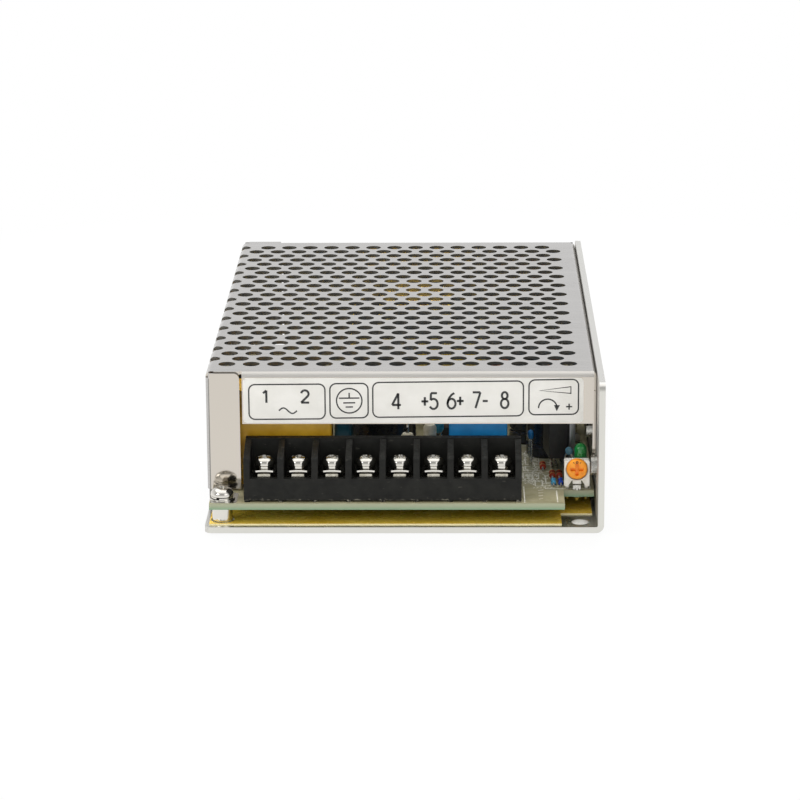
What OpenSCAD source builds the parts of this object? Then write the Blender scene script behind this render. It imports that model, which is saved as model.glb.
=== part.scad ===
// Enclosed switching supply with a buffered output: a folded aluminium chassis, a perforated steel cover,
// an eight-pole screw terminal strip at the open front and the circuit board with its components inside.

/* [Case] */
// Length of the chassis from its front edge to its rear edge
case_l = 159; // [154:1:190]
// Width over the cover's left wall and the chassis' right wall
case_w = 97; // [95:1:120]
// Height of the chassis' right wall
case_h = 37.5; // [37:0.5:60]
// Thickness of the chassis sheet
chassis_t = 1.5; // [1.2:0.1:2]
// Outside radius of the chassis' bend, and of its free corners
chassis_r = 2; // [2:0.1:3]
// Diameter of the fixing hole in the open front corner
front_hole_d = 4.2; // [3:0.1:5]
// Diameter of the tapped holes in the chassis
tapped_d = 3; // [2.5:0.1:4]
// Distance across the width between the tapped holes of the bottom
base_hole_dx = 70; // [50:1:72]
// Distance along the length between the tapped holes of the bottom
base_hole_dy = 120; // [80:1:124]
// Distance along the length between the threads of the right wall
side_hole_dy = 120; // [100:1:130]
// Height of the threads of the right wall
side_hole_z = 14.2; // [13:0.1:15]

/* [Cover] */
// Thickness of the cover sheet
cover_t = 0.8; // [0.6:0.1:1]
// Outside radius of the cover's bends
cover_r = 1.4; // [1.2:0.1:2]
// Set-back of the cover's front face from the chassis' front edge
cover_front = 12; // [11.5:0.1:12.2]
// Drop of the cover's top below the right wall's top edge
cover_drop = 0.3; // [0.1:0.1:0.6]
// Gap between the cover and the chassis faces beside it
cover_gap = 0.15; // [0.05:0.05:0.3]
// Height of the front lip's lower edge
lip_z = 24.2; // [23:0.1:28]
// Width of the front flange folded from the left wall
flange_w = 8.3; // [6:0.1:9]
// Height of the flanges' lower edges
flange_z = 7.5; // [7.4:0.1:12]
// Drop of the flanges' upper edges below the cover's top
flange_drop = 0.3; // [0.1:0.1:2]
// Slit between a flange and the edge of the top behind it
ledge_gap = 0.15; // [0.1:0.05:0.3]
// Slot between two folds that meet at a corner
fold_gap = 0.6; // [0.3:0.1:1]
// Width of the tab and flange at the left rear corner
rear_tab_w = 11; // [8:0.5:16]
// Set-back of the rear wall from the chassis' rear edge
rear_step = 1.2; // [0.8:0.1:3]
// Depth of the strip folded down inside the right wall
strip_h = 5; // [3:0.5:6]
// Width of the screw tabs on that strip
tab_w = 10; // [8:0.5:14]
// Height of the screw tabs' lower edge
tab_z = 16.4; // [16.4:0.1:18]

/* [Perforation] */
// Diameter of a hole
hole_d = 4.2; // [3:0.1:4.6]
// Distance between neighbouring holes, staggered at 60 degrees
hole_pitch = 6; // [5.6:0.1:9]
// Distance from the cover's front face to the first row
front_margin = 8.2; // [6:0.1:12]
// Least distance from the last row to the rear wall
rear_margin = 7.2; // [5:0.1:12]
// Distance from the cover's left face to the first hole of the long rows
left_margin = 4.8; // [4:0.1:6]
// Least distance from the last hole of a row to the cover's right edge
right_margin = 5; // [4:0.1:8]
// Distance from the cover's top to the first hole of the left wall
wall_margin = 3.6; // [3.6:0.1:5]

/* [Fasteners] */
// Diameter of the machine screws' threads
screw_d = 2.9; // [2.4:0.1:2.9]
// Diameter of the pan heads inside the case
head_d = 5.6; // [5:0.1:6]
// Height of the pan heads
head_h = 2.1; // [1.6:0.1:2.4]
// Diameter of the flush heads that hold the cover
flush_d = 5.4; // [5:0.1:5.8]
// Depth of the flush heads
flush_h = 1.2; // [1:0.1:1.2]
// Height of the two ears on the chassis' left side
ear_h = 12.6; // [12:0.1:14]
// Width of the ears
ear_w = 10; // [9:0.5:14]

/* [Board] */
// Thickness of the circuit board
board_t = 1.6; // [1:0.1:2]
// Height of the pillars that carry it
pillar_h = 4; // [3.6:0.1:4.4]
// Diameter of the pillars
pillar_d = 5; // [4.6:0.1:6]
// Distance of the board's front edge from the chassis' front edge
board_front = 1.5; // [1:0.1:2]
// Depth of the board's notch at the right front corner
board_notch = 10.7; // [10:0.1:10.7]
// Thickness of the insulating sheet under the board
film_t = 0.3; // [0.2:0.1:0.6]
// Set-back of that sheet from the chassis' front edge
film_front = 1.9; // [0.3:0.1:2.5]

/* [Terminal strip] */
// Distance between neighbouring poles
pole_pitch = 8.25; // [8.1:0.05:8.4]
// Thickness of the walls between the poles
pole_wall = 1.5; // [1.2:0.1:1.6]
// Depth of the strip from front to back
strip_l = 12.7; // [12.4:0.1:13.5]
// Height of the strip's base above the board
strip_base = 5.9; // [5.6:0.1:6.2]
// Height of the walls' front ends above the board
wall_front_h = 11.2; // [10.6:0.1:12]
// Height of the strip's back wall above the board
strip_back_h = 13.2; // [12.6:0.1:14]
// Diameter of the terminal screws' threads
clamp_d = 3; // [2.6:0.1:3.4]
// Diameter of the terminal screws' heads
clamp_head_d = 5.2; // [4.6:0.1:5.6]
// Height of the terminal screws' heads
clamp_head_h = 2.2; // [1.8:0.1:2.4]
// Width of the square clamp washers
clamp_plate_w = 5.9; // [5.6:0.1:6.2]
// Distance that the clamps stand open
clamp_open = 1; // [0.6:0.1:1.2]

/* [Controls] */
// Diameter of the adjuster's rotor
rotor_d = 5.2; // [4.6:0.1:5.4]
// Width of the adjuster's frame
trimmer_w = 6.2; // [6:0.1:6.6]
// Height of the adjuster's frame
trimmer_h = 6.5; // [6.3:0.1:7]
// Diameter of the lamp's lens
lamp_d = 3.1; // [2.8:0.1:3.4]
// Height of the lens' top above the board
lamp_top = 10.7; // [10:0.1:14]

/* [Components] */
// Length of the line filter capacitor
x_cap_l = 26.5; // [24:0.5:27]
// Height of the line filter capacitor
x_cap_h = 24; // [18:0.5:25]
// Diameter of the mains smoothing capacitor
bulk_d = 18; // [14:0.5:18.5]
// Clearance between the mains smoothing capacitor and the cover
bulk_clear = 2.8; // [1:0.1:9]
// Width of the transformer's core
core_w = 34; // [33:0.5:35]
// Length of the transformer's core
core_l = 41; // [39:0.5:42]
// Thickness of the transformer's core
core_t = 12; // [10:0.5:13]
// Diameter over the transformer's windings
winding_d = 20.6; // [18:0.1:21]
// Clearance between the transformer's windings and the cover
winding_clear = 2.1; // [1:0.1:3]
// Clearance between the power devices and the strip above them
device_clear = 3.1; // [1:0.1:6]
// Width of the relay
relay_w = 14.4; // [13:0.1:15]
// Height of the relay
relay_h = 15.7; // [15:0.1:16.4]
// Diameter of the output smoothing capacitors
out_cap_d = 10; // [8:0.5:10]
// Height of the output smoothing capacitors
out_cap_h = 20; // [12:0.5:25]

/* [Hidden] */
$fn = 48;
eps = 0.01;
poles = 8;
INNER = ["x_capacitor", "varistor", "y_capacitors", "fuse", "line_choke_core", "line_choke_coils",
    "thermistor", "bridge_rectifier", "bulk_capacitor", "transformer_core", "transformer_bobbin",
    "transformer_winding", "transformer_tape", "power_devices", "insulating_pads", "output_inductor_core",
    "output_inductor_coil", "output_capacitors", "relay", "regulator", "heat_sink", "control_circuit",
    "optocoupler", "upright_resistors", "red_resistors", "blue_resistors", "disc_capacitors"];

// Outer faces of the case and inner face of its right wall
left_x = -case_w / 2;
right_x = case_w / 2;
wall_in = right_x - chassis_t;
// The cover's faces
cover_top = case_h - cover_drop;
cover_left_in = left_x + cover_t;
strip_x = wall_in - cover_gap;
rear_y = case_l - rear_step;
fold_y = cover_front + cover_r;
lip_x0 = left_x + flange_w + fold_gap;
lip_x1 = strip_x - fold_gap;
flange_top = cover_top - flange_drop;
cover_low = chassis_t + cover_gap;
tab_y = [cover_front + 1 + tab_w / 2, rear_y - 10 - tab_w / 2];
tab_screw_z = tab_z + 5.2;
// The perforation's rows and columns
row_pitch = hole_pitch * sqrt(3) / 2;
row_y0 = cover_front + front_margin;
rows = floor((rear_y - rear_margin - row_y0) / row_pitch) + 1;
row_x0 = left_x + left_margin;
row_x1 = strip_x - right_margin;
wall_hole_z0 = cover_top - wall_margin;
wall_hole_low = cover_low + hole_d + 1.3;
// The chassis' ears and the flush screws in them
ear_out = cover_left_in + cover_gap;
ear_y = [42, case_l - 37];
ear_screw_z = ear_h - 4;
// The board's faces and edges
film_top = chassis_t + film_t;
board_low = chassis_t + pillar_h;
board_top = board_low + board_t;
board_x0 = cover_left_in + 0.3;
board_x1 = wall_in - 0.5;
board_rear = rear_y - cover_t - 1;
notch_x = wall_in - 8;
notch_y = board_front + board_notch;
pillar_at = [[left_x + 4.1, 5.5], [left_x + 4.1, board_rear - 4.5], [wall_in - 5, board_rear - 4.5],
    [wall_in - 5, 54]];
washer_h = 0.9;
base_hole_at = [for (x = [-1, 1], y = [-1, 1]) [x * base_hole_dx / 2, case_l / 2 + y * base_hole_dy / 2]];
front_hole_at = [wall_in - 4.2, 4.2];
side_hole_y = [10.5, 10.5 + side_hole_dy];
side_nut_l = 1.4;
// The terminal strip's faces
strip_y = board_front + 1;
strip_w = poles * pole_pitch + pole_wall;
strip_x0 = left_x + 9.55;
pole_y = strip_y + 5.5;
strip_floor = board_top + strip_base;
plate_top = strip_floor - 0.2;
plate_t = 0.8;
plate_w = clamp_plate_w + 0.2;
plate_l = 8;
clamp_z = plate_top + clamp_open;
clamp_plate_t = 0.7;
spring_t = 0.7;
face_gap = 0.03;
spring_d = clamp_head_d - 0.6;
clamp_len = 6;
bore_gap = 0.1;
strip_foot = 0.5;
foot_d = 1.4;
// The adjuster stands at the edge of the notch
trimmer_x = wall_in - 4.7;
trimmer_y = notch_y + 0.4;
trimmer_t = 2.4;
trimmer_z = board_top + 1;
rotor_z = trimmer_z + trimmer_h - rotor_d / 2 + 0.4;
rotor_t = 1.2;
rotor_hub_d = 2.4;
lamp_at = [wall_in - 3.7, trimmer_y + 4.5];
lamp_body_h = 4.6;
// Places of the components on the board
x_cap_w = 11.5;
x_cap_at = [left_x + 4, strip_y + strip_l + 2.4];
varistor_t = 4.3;
varistor_d = 15;
varistor_x = x_cap_at[0] + x_cap_l + 0.6;
y_cap_d = 9;
y_cap_pitch = 12;
y_cap_at = [left_x + 20, 72];
thermistor_d = 11;
thermistor_at = [left_x + 34, 63];
bridge_at = [left_x + 8, 88];
bulk_at = [left_x + 41.9, 47];
bulk_h = cover_top - cover_t - bulk_clear - board_top;
choke_at = [left_x + 16.5, 55];
choke_core_w = 22;
choke_core_h = 19.6;
choke_core_t = 8;
choke_leg = 5;
choke_foot = 2.4;
core_at = [wall_in - 44.8, 98];
core_z = cover_top - cover_t - winding_clear - winding_d / 2;
core_leg = 6;
core_yoke = 6.4;
window_l = core_l - 2 * core_yoke;
core_post_d = 11;
bobbin_gap = 0.15;
bobbin_end = window_l / 2 - 2 * bobbin_gap;
cheek_t = 1.4;
tube_d = core_post_d + 2.4;
relay_at = [wall_in - 36.1, x_cap_at[1]];
relay_l = 18;
device_pitch = 50.5;
device_y1 = side_hole_y[1] - 14;
device_y = [device_y1 - device_pitch, device_y1];
device_w = 10;
device_tab_t = 1.3;
device_t = 4.5;
device_body_h = 9.2;
device_h = 15.5;
device_z = cover_top - strip_h - device_clear - device_h;
device_lead = device_z - board_top;
device_hole_z = 12.6;
pad_t = 0.3;
regulator_x = wall_in - 7.2;
regulator_y = 31;
regulator_lead = 4;
sink_t = 1.5;
sink_w = 14;
sink_h = 22;
sink_foot = 4;
coil_at = [wall_in - 15.5, 96];
ring_d = 18;
ring_hole_d = 9.5;
ring_h = 9;
wire_d = 1;
lead_d = 0.7;
out_cap_at = [[wall_in - 11.4, 44.5], [coil_at[0], 57], [coil_at[0], 75.5]];
circuit_x = left_x + 58.5;
circuit_y = 58;
circuit_w = 6.4;
circuit_h = 3.3;
leg_pitch = 2.54;
upright_at = [[wall_in - 46.4, 23], [wall_in - 40.9, regulator_y]];
disc_d = 3.4;
disc_t = 2.1;
disc_lift = 6.6;
disc_span = 2.4;
disc_at = [[wall_in - 15.6, 33], [left_x + 56.5, 40], [wall_in - 6.4, 20.5]];
red_at = [[wall_in - 10.4, notch_y + 11.3], [wall_in - 8.7, notch_y + 11.3], [wall_in - 12.6, regulator_y]];
blue_at = [for (x = [wall_in - 10.3, wall_in - 8.5]) [x, strip_y + strip_l + 2.5]];

module from_front() {
    translate([0, -case_l / 2, 0]) children();
}

module span(a, b) {
    translate(a) cube(b - a);
}

// A round bar along X
module bar_x(x0, x1, y, z, d) {
    translate([x0, y, z]) rotate([0, 90, 0]) cylinder(h = x1 - x0, d = d);
}

// A round bar along Y
module bar_y(x, y0, y1, z, d) {
    translate([x, y0, z]) rotate([-90, 0, 0]) cylinder(h = y1 - y0, d = d);
}

// An upright round bar
module bar_z(x, y, z0, z1, d) {
    translate([x, y, z0]) cylinder(h = z1 - z0, d = d);
}

// A flat outline with round corners
module round_square(size, r) {
    translate([r, 0]) square([size[0] - 2 * r, size[1]]);
    translate([0, r]) square([size[0], size[1] - 2 * r]);
    for (x = [r, size[0] - r], y = [r, size[1] - r]) translate([x, y]) circle(r);
}

// What is cut from a square corner to round it
module corner_cut(r) {
    difference() {
        translate([-eps, -eps]) square(r + eps);
        translate([r, r]) circle(r);
    }
}

// A quarter of a bent sheet, its centre at the origin, in the quadrant of -X and +Y
module bend_quarter(r, t) {
    intersection() {
        difference() {
            circle(r);
            circle(r - t);
        }
        translate([-r - 1, 0]) square(r + 1);
    }
}

// A pan head with its thread below, head seat at the origin
module pan_screw(thread_d, length, top_d, top_h, recess) {
    edge = top_h * 0.45;
    difference() {
        rotate_extrude() polygon([[0, -length], [thread_d / 2 - 0.2, -length], [thread_d / 2, -length + 0.3],
            [thread_d / 2, 0], [top_d / 2, 0], [top_d / 2, edge], [top_d / 2 - 0.25, top_h * 0.75],
            [top_d / 2 - 0.9, top_h - 0.1], [top_d / 4, top_h], [0, top_h]]);
        translate([0, 0, top_h]) cross_recess(recess);
    }
}

// The cross-shaped driver recess, its mouth at the origin
module cross_recess(d) {
    depth = d * 0.42;
    intersection() {
        union() {
            translate([-d, -d * 0.14, -depth]) cube([2 * d, d * 0.28, depth + 1]);
            translate([-d * 0.14, -d, -depth]) cube([d * 0.28, 2 * d, depth + 1]);
        }
        translate([0, 0, -depth]) cylinder(h = depth + eps, d1 = d * 0.42, d2 = d);
    }
}

// The flush head and thread of a cover screw, head face at the origin, pointing to +Z
module flush_screw(length) {
    difference() {
        union() {
            cylinder(h = flush_h, d1 = flush_d, d2 = screw_d);
            cylinder(h = length, d = screw_d);
        }
        mirror([0, 0, 1]) cross_recess(2.8);
    }
}

// The seat of a flush head, its mouth at the origin
module flush_seat(depth) {
    translate([0, 0, -eps]) cylinder(h = flush_h, d1 = flush_d + 0.2, d2 = screw_d + 0.2);
    cylinder(h = depth, d = screw_d + 0.2);
}

module chassis_profile() {
    square([case_w - chassis_r, chassis_t]);
    translate([case_w - chassis_t, chassis_r]) square([chassis_t, case_h - chassis_r]);
    translate([case_w - chassis_r, chassis_r]) mirror([1, 0]) mirror([0, 1])
        bend_quarter(chassis_r, chassis_t);
}

module chassis_ears() {
    for (y = ear_y) {
        span([ear_out, y - ear_w / 2, chassis_r], [ear_out + chassis_t, y + ear_w / 2, ear_h]);
        translate([ear_out + chassis_r, y + ear_w / 2, chassis_r]) rotate([90, 0, 0])
            linear_extrude(ear_w) mirror([0, 1]) bend_quarter(chassis_r, chassis_t);
    }
}

// Clears the bottom plate beside each ear, so that the ear folds up inside the plate's edge
module ear_reliefs() {
    for (y = ear_y)
        span([left_x - 1, y - ear_w / 2 - 1, -1], [ear_out + chassis_r, y + ear_w / 2 + 1, chassis_t + 1]);
}

module chassis() color("gainsboro") difference() {
    union() {
        difference() {
            translate([left_x, case_l, 0]) rotate([90, 0, 0]) linear_extrude(case_l) chassis_profile();
            ear_reliefs();
            translate([left_x, 0, -1]) linear_extrude(chassis_t + 2) corner_cut(chassis_r);
            translate([wall_in - 1, 0, case_h]) rotate([0, 90, 0]) linear_extrude(chassis_t + 2)
                corner_cut(chassis_r);
            translate([wall_in - 1, case_l, case_h]) rotate([0, 90, 0]) linear_extrude(chassis_t + 2)
                mirror([0, 1]) corner_cut(chassis_r);
        }
        chassis_ears();
    }
    for (p = base_hole_at) bar_z(p[0], p[1], -1, chassis_t + 1, tapped_d);
    bar_z(front_hole_at[0], front_hole_at[1], -1, chassis_t + 1, front_hole_d);
    for (y = side_hole_y) bar_x(wall_in - 1, right_x + 1, y, side_hole_z, tapped_d);
    for (y = device_y) bar_x(wall_in - 1, right_x + 1, y, device_z + device_hole_z, tapped_d);
    for (y = tab_y) translate([right_x, y, tab_screw_z]) rotate([0, -90, 0]) flush_seat(chassis_t + 1);
    for (y = ear_y) translate([left_x, y, ear_screw_z]) rotate([0, 90, 0]) flush_seat(8);
}

// Section of the cover from its left wall over the top to the strip on the right
module cover_profile() {
    top_l = left_x + cover_r;
    top_r = strip_x - cover_r;
    translate([left_x, cover_low]) square([cover_t, cover_top - cover_r - cover_low]);
    translate([top_l, cover_top - cover_r]) bend_quarter(cover_r, cover_t);
    translate([top_l, cover_top - cover_t]) square([top_r - top_l, cover_t]);
    translate([top_r, cover_top - cover_r]) mirror([1, 0]) bend_quarter(cover_r, cover_t);
    translate([strip_x - cover_t, cover_top - strip_h]) square([cover_t, strip_h - cover_r]);
}

// A wall folded down from the top, its outer face at the origin and the case behind it
module folded_wall(x0, x1, low) {
    translate([x0, 0, 0]) rotate([90, 0, 90]) linear_extrude(x1 - x0) {
        translate([cover_r, cover_top - cover_r]) bend_quarter(cover_r, cover_t);
        translate([0, low]) square([cover_t, cover_top - cover_r - low]);
    }
}

// A flange folded in from the left wall, its outer face at the origin, with the round top corner and the
// notch that parts it from the fold of the top
module left_flange(w) {
    difference() {
        translate([0, 0, flange_z]) linear_extrude(flange_top - flange_z) {
            translate([left_x + cover_r, cover_r]) mirror([0, 1]) bend_quarter(cover_r, cover_t);
            translate([left_x + cover_r, 0]) square([w - cover_r, cover_t]);
        }
        translate([left_x + w, -1, flange_top]) rotate([-90, 0, 0]) linear_extrude(cover_t + 2)
            mirror([1, 0]) corner_cut(cover_r);
        span([left_x - 1, -1, cover_top - cover_r], [left_x + cover_r / 2, 2 * cover_r, cover_top]);
    }
}

// The top carried out level to the back of a flange
module top_ledge(w, depth) {
    span([left_x + cover_r + fold_gap, cover_t + ledge_gap, cover_top - cover_t],
        [left_x + w, depth, cover_top]);
}

module perforation() {
    for (j = [0:rows - 1]) {
        y = row_y0 + j * row_pitch;
        shift = (j % 2) * hole_pitch / 2;
        for (x = [row_x0 + shift:hole_pitch:row_x1])
            bar_z(x, y, cover_top - cover_t - 1, cover_top + 1, hole_d);
        for (z = [wall_hole_z0 - shift:-hole_pitch:wall_hole_low])
            if (min([for (e = ear_y) norm([y - e, z - ear_screw_z])]) > (flush_d + hole_d) / 2 + 0.8)
                bar_x(left_x - 1, cover_left_in + 1, y, z, hole_d);
        if (j % 2 == 1)
            translate([left_x + cover_r, y, cover_top - cover_r]) rotate([0, -45, 0])
                cylinder(h = 2 * cover_r, d = hole_d);
    }
}

module cover() color("silver") difference() {
    union() {
        translate([0, rear_y - cover_r, 0]) rotate([90, 0, 0]) linear_extrude(rear_y - cover_r - fold_y)
            cover_profile();
        span([left_x, rear_y - cover_r, cover_low],
            [cover_left_in, case_l - cover_r, cover_top - 2 * cover_r]);
        for (y = tab_y)
            span([strip_x - cover_t, y - tab_w / 2, tab_z],
                [strip_x, y + tab_w / 2, cover_top - strip_h]);
        translate([0, cover_front, 0]) {
            folded_wall(lip_x0, lip_x1, lip_z);
            left_flange(flange_w);
            top_ledge(flange_w, cover_r);
        }
        translate([0, rear_y, 0]) mirror([0, 1, 0])
            folded_wall(left_x + rear_tab_w + fold_gap, lip_x1, cover_low + cover_gap);
        translate([0, case_l, 0]) mirror([0, 1, 0]) {
            left_flange(rear_tab_w);
            top_ledge(rear_tab_w, rear_step + cover_r);
        }
    }
    perforation();
    span([left_x - 1, 0, 0], [cover_left_in + 1, fold_y + 5, flange_z]);
    for (y = ear_y) translate([left_x, y, ear_screw_z]) rotate([0, 90, 0]) flush_seat(8);
    for (y = tab_y) bar_x(strip_x - cover_t - 1, strip_x + 1, y, tab_screw_z, tapped_d);
}

module cover_screws() color("lightgray") {
    for (y = tab_y)
        translate([right_x, y, tab_screw_z]) rotate([0, -90, 0])
            flush_screw(chassis_t + cover_gap + cover_t + side_nut_l);
    for (y = ear_y)
        translate([left_x, y, ear_screw_z]) rotate([0, 90, 0])
            flush_screw(cover_t + cover_gap + chassis_t + 1);
}

// A clinch nut pressed against a sheet, the sheet's face at the origin, standing out to -X
module clinch_nut(y, z) {
    difference() {
        bar_x(-side_nut_l, 0, y, z, tapped_d + 2);
        bar_x(-side_nut_l - 1, 1, y, z, tapped_d);
    }
}

module clinch_nuts() color("gainsboro") {
    translate([wall_in, 0, 0]) for (y = side_hole_y) clinch_nut(y, side_hole_z);
    translate([strip_x - cover_t, 0, 0]) for (y = tab_y) clinch_nut(y, tab_screw_z);
}

module front_label() color("white") {
    label_t = 0.15;
    edge = 0.3;
    low = lip_z + edge;
    high = cover_top - cover_r;
    translate([lip_x0 + edge, cover_front, low]) rotate([90, 0, 0]) linear_extrude(label_t)
        round_square([lip_x1 - 2.6 - lip_x0 - edge, high - low], 1);
}

module insulating_sheet() color("goldenrod") {
    film_x0 = cover_left_in + 0.2;
    film_x1 = wall_in - 1;
    ear_clear = 1.5;
    translate([0, 0, chassis_t]) linear_extrude(film_t) difference() {
        translate([film_x0, film_front]) square([film_x1 - film_x0, rear_y - 2 - film_front]);
        translate([notch_x - 0.7, -1]) square([film_x1 - notch_x + 2, notch_y - 1]);
        for (y = ear_y)
            translate([film_x0 - 1, y - ear_w / 2 - ear_clear])
                square([ear_out + chassis_r + ear_clear - film_x0 + 1, ear_w + 2 * ear_clear]);
        for (p = pillar_at) translate(p) circle(d = pillar_d + 0.8);
        for (p = base_hole_at) translate(p) circle(d = tapped_d + 3);
    }
}

module board() color("darkseagreen") {
    ear_clear = 0.6;
    translate([0, 0, board_low]) linear_extrude(board_t) difference() {
        translate([board_x0, board_front]) square([board_x1 - board_x0, board_rear - board_front]);
        translate([notch_x, board_front - 1]) square([board_x1 - notch_x + 1, board_notch + 1]);
        for (y = ear_y)
            translate([board_x0 - 1, y - ear_w / 2 - ear_clear])
                square([ear_out + chassis_t + 1.6 - board_x0 + 1, ear_w + 2 * ear_clear]);
        for (p = pillar_at) translate(p) circle(d = screw_d + 0.4);
    }
}

module board_pillars() color("gainsboro") {
    for (p = pillar_at) difference() {
        bar_z(p[0], p[1], chassis_t, board_low, pillar_d);
        bar_z(p[0], p[1], chassis_t - 1, board_low + 1, screw_d + 0.1);
    }
}

module board_washers() color("silver") {
    for (p = pillar_at) difference() {
        bar_z(p[0], p[1], board_top, board_top + washer_h, head_d + 0.6);
        bar_z(p[0], p[1], board_top - 1, board_top + 2, screw_d + 0.3);
    }
}

// The pan heads that hold the board, and those that hold the power devices to the right wall
module machine_screws() color("gainsboro") {
    for (p = pillar_at)
        translate([p[0], p[1], board_top + washer_h])
            pan_screw(screw_d, washer_h + board_t + pillar_h - 0.5, head_d, head_h, 3);
    for (y = device_y)
        translate([wall_in - pad_t - device_tab_t, y, device_z + device_hole_z]) rotate([0, -90, 0])
            pan_screw(screw_d, device_tab_t + pad_t + chassis_t - 0.2, head_d, head_h, 3);
}

function pole_x(i) = strip_x0 + pole_wall / 2 + (i - 0.5) * pole_pitch;

// Side view of a wall between two poles, with its sloping top and round front corner
module pole_wall_outline() {
    r = 1.2;
    back = strip_l - 2;
    slope = (strip_back_h - wall_front_h) / back;
    polygon(concat([[0, strip_foot]],
        [for (a = [180:-15:90]) [r + r * cos(a), wall_front_h - r + r * sin(a)]],
        [[back, wall_front_h + slope * (back - r)], [back, strip_foot]]));
}

module terminal_block() color([0.13, 0.13, 0.13]) translate([strip_x0, strip_y, board_top]) difference() {
    union() {
        span([0, 0, strip_foot], [strip_w, strip_l, strip_base]);
        span([0, strip_l - 2, strip_base - eps], [strip_w, strip_l, strip_back_h]);
        for (i = [0:poles]) translate([i * pole_pitch, 0, 0]) {
            rotate([90, 0, 90]) linear_extrude(pole_wall) pole_wall_outline();
            for (y = [foot_d / 2, strip_l - 2]) bar_z(pole_wall / 2, y, 0, strip_foot + eps, foot_d);
        }
    }
    for (i = [1:poles]) translate([pole_x(i) - strip_x0, pole_y - strip_y, 0]) {
        pocket = plate_top - plate_t - board_top;
        span([-plate_w / 2 - 0.1, -plate_l / 2, pocket],
            [plate_w / 2 + 0.1, plate_l / 2 + 0.1, strip_base + 1]);
        bar_z(0, 0, -1, strip_base + 1, clamp_d + 0.8);
        span([-1.6, plate_l / 2 - plate_t - 0.1, -1], [1.6, plate_l / 2 + 0.1, strip_base]);
    }
}

// The contact plates, each with the leg that goes down to the board
module terminal_plates() color("lightgray") {
    for (i = [1:poles]) translate([pole_x(i), pole_y, 0]) {
        difference() {
            span([-plate_w / 2, -plate_l / 2 + 0.1, plate_top - plate_t],
                [plate_w / 2, plate_l / 2, plate_top]);
            bar_z(0, 0, plate_top - plate_t - 1, plate_top + 1, clamp_d + 2 * bore_gap);
        }
        span([-1.5, plate_l / 2 - plate_t, board_top], [1.5, plate_l / 2, plate_top - plate_t]);
    }
}

// The square clamp washer and the spring washer on it
module terminal_washer(i) color("lightgray") translate([pole_x(i), pole_y, clamp_z]) {
    linear_extrude(clamp_plate_t) difference() {
        translate([-clamp_plate_w / 2, -clamp_plate_w / 2])
            round_square([clamp_plate_w, clamp_plate_w], 0.5);
        circle(d = clamp_d + 2 * bore_gap);
    }
    translate([0, 0, clamp_plate_t + face_gap]) linear_extrude(spring_t) difference() {
        circle(d = spring_d);
        circle(d = clamp_d + 2 * bore_gap);
    }
}

module terminal_screw(i) color("gainsboro")
    translate([pole_x(i), pole_y, clamp_z + clamp_plate_t + spring_t + 2 * face_gap])
        pan_screw(clamp_d, clamp_len, clamp_head_d, clamp_head_h, 3.6);

// The adjuster's upright frame, open below beside the middle contact
module trimmer_frame() color("whitesmoke") translate([trimmer_x, trimmer_y, trimmer_z]) {
    foot_w = 1.5;
    arch_h = 1.6;
    hub = rotor_z - trimmer_z;
    difference() {
        translate([-trimmer_w / 2, trimmer_t, 0]) rotate([90, 0, 0]) linear_extrude(trimmer_t)
            round_square([trimmer_w, trimmer_h], 0.4);
        for (x = [-trimmer_w / 2 + foot_w, 1])
            span([x, -1, -1], [x + trimmer_w / 2 - foot_w - 1, trimmer_t + 1, arch_h]);
        bar_y(0, -1, 0.8, hub, rotor_d + 0.4);
        bar_y(0, -1, trimmer_t + 1, hub, rotor_hub_d + 2 * bore_gap);
    }
}

module trimmer_rotor() color("darkorange") translate([trimmer_x, trimmer_y, rotor_z]) difference() {
    union() {
        bar_y(0, 0.7 - rotor_t, 0.7, 0, rotor_d);
        bar_y(0, 0, trimmer_t, 0, rotor_hub_d);
    }
    span([-1.5, -1, -0.35], [1.5, 0.1, 0.35]);
    span([-0.35, -1, -1.5], [0.35, 0.1, 1.5]);
}

// The wiper's contact below the rotor and the two end pins
module trimmer_pins() color("silver") translate([trimmer_x, trimmer_y, 0]) {
    span([-0.9, -0.3, board_top], [0.9, 0, trimmer_z + 1.5]);
    for (x = [0.8 - trimmer_w / 2, trimmer_w / 2 - 0.8])
        span([x - 0.4, 1, board_top], [x + 0.4, 1.4, trimmer_z]);
}

module lamp_lens() color("green") {
    base = board_top + lamp_top - lamp_body_h;
    translate([lamp_at[0], lamp_at[1], base]) {
        cylinder(h = 0.9, d = lamp_d + 0.7);
        cylinder(h = lamp_body_h - lamp_d / 2, d = lamp_d);
        translate([0, 0, lamp_body_h - lamp_d / 2]) sphere(d = lamp_d);
    }
}

module lamp_leads() color("silver") {
    for (s = [-0.5, 0.5])
        bar_z(lamp_at[0] + s * leg_pitch, lamp_at[1], board_top, board_top + lamp_top - lamp_body_h, 0.5);
}

// A box with upright round edges standing on the board
module box_component(at, size, r) {
    translate([at[0], at[1], board_top]) linear_extrude(size[2]) round_square([size[0], size[1]], r);
}

// A coated disc standing on two leads, its flat sides facing X
module disc_component(x, y, d, t, lift, span_l) {
    r = min(t / 2 - 0.1, d / 4 - 0.05, 1.2);
    z = board_top + lift + d / 2;
    translate([x - t / 2, y, z]) rotate([0, 90, 0]) rotate_extrude() {
        square([d / 2 - r, t]);
        translate([0, r]) square([d / 2, t - 2 * r]);
        for (h = [r, t - r]) translate([d / 2 - r, h]) circle(r);
    }
    for (s = [-1, 1]) bar_z(x, y + s * span_l / 2, board_top, z, lead_d);
}

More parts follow.
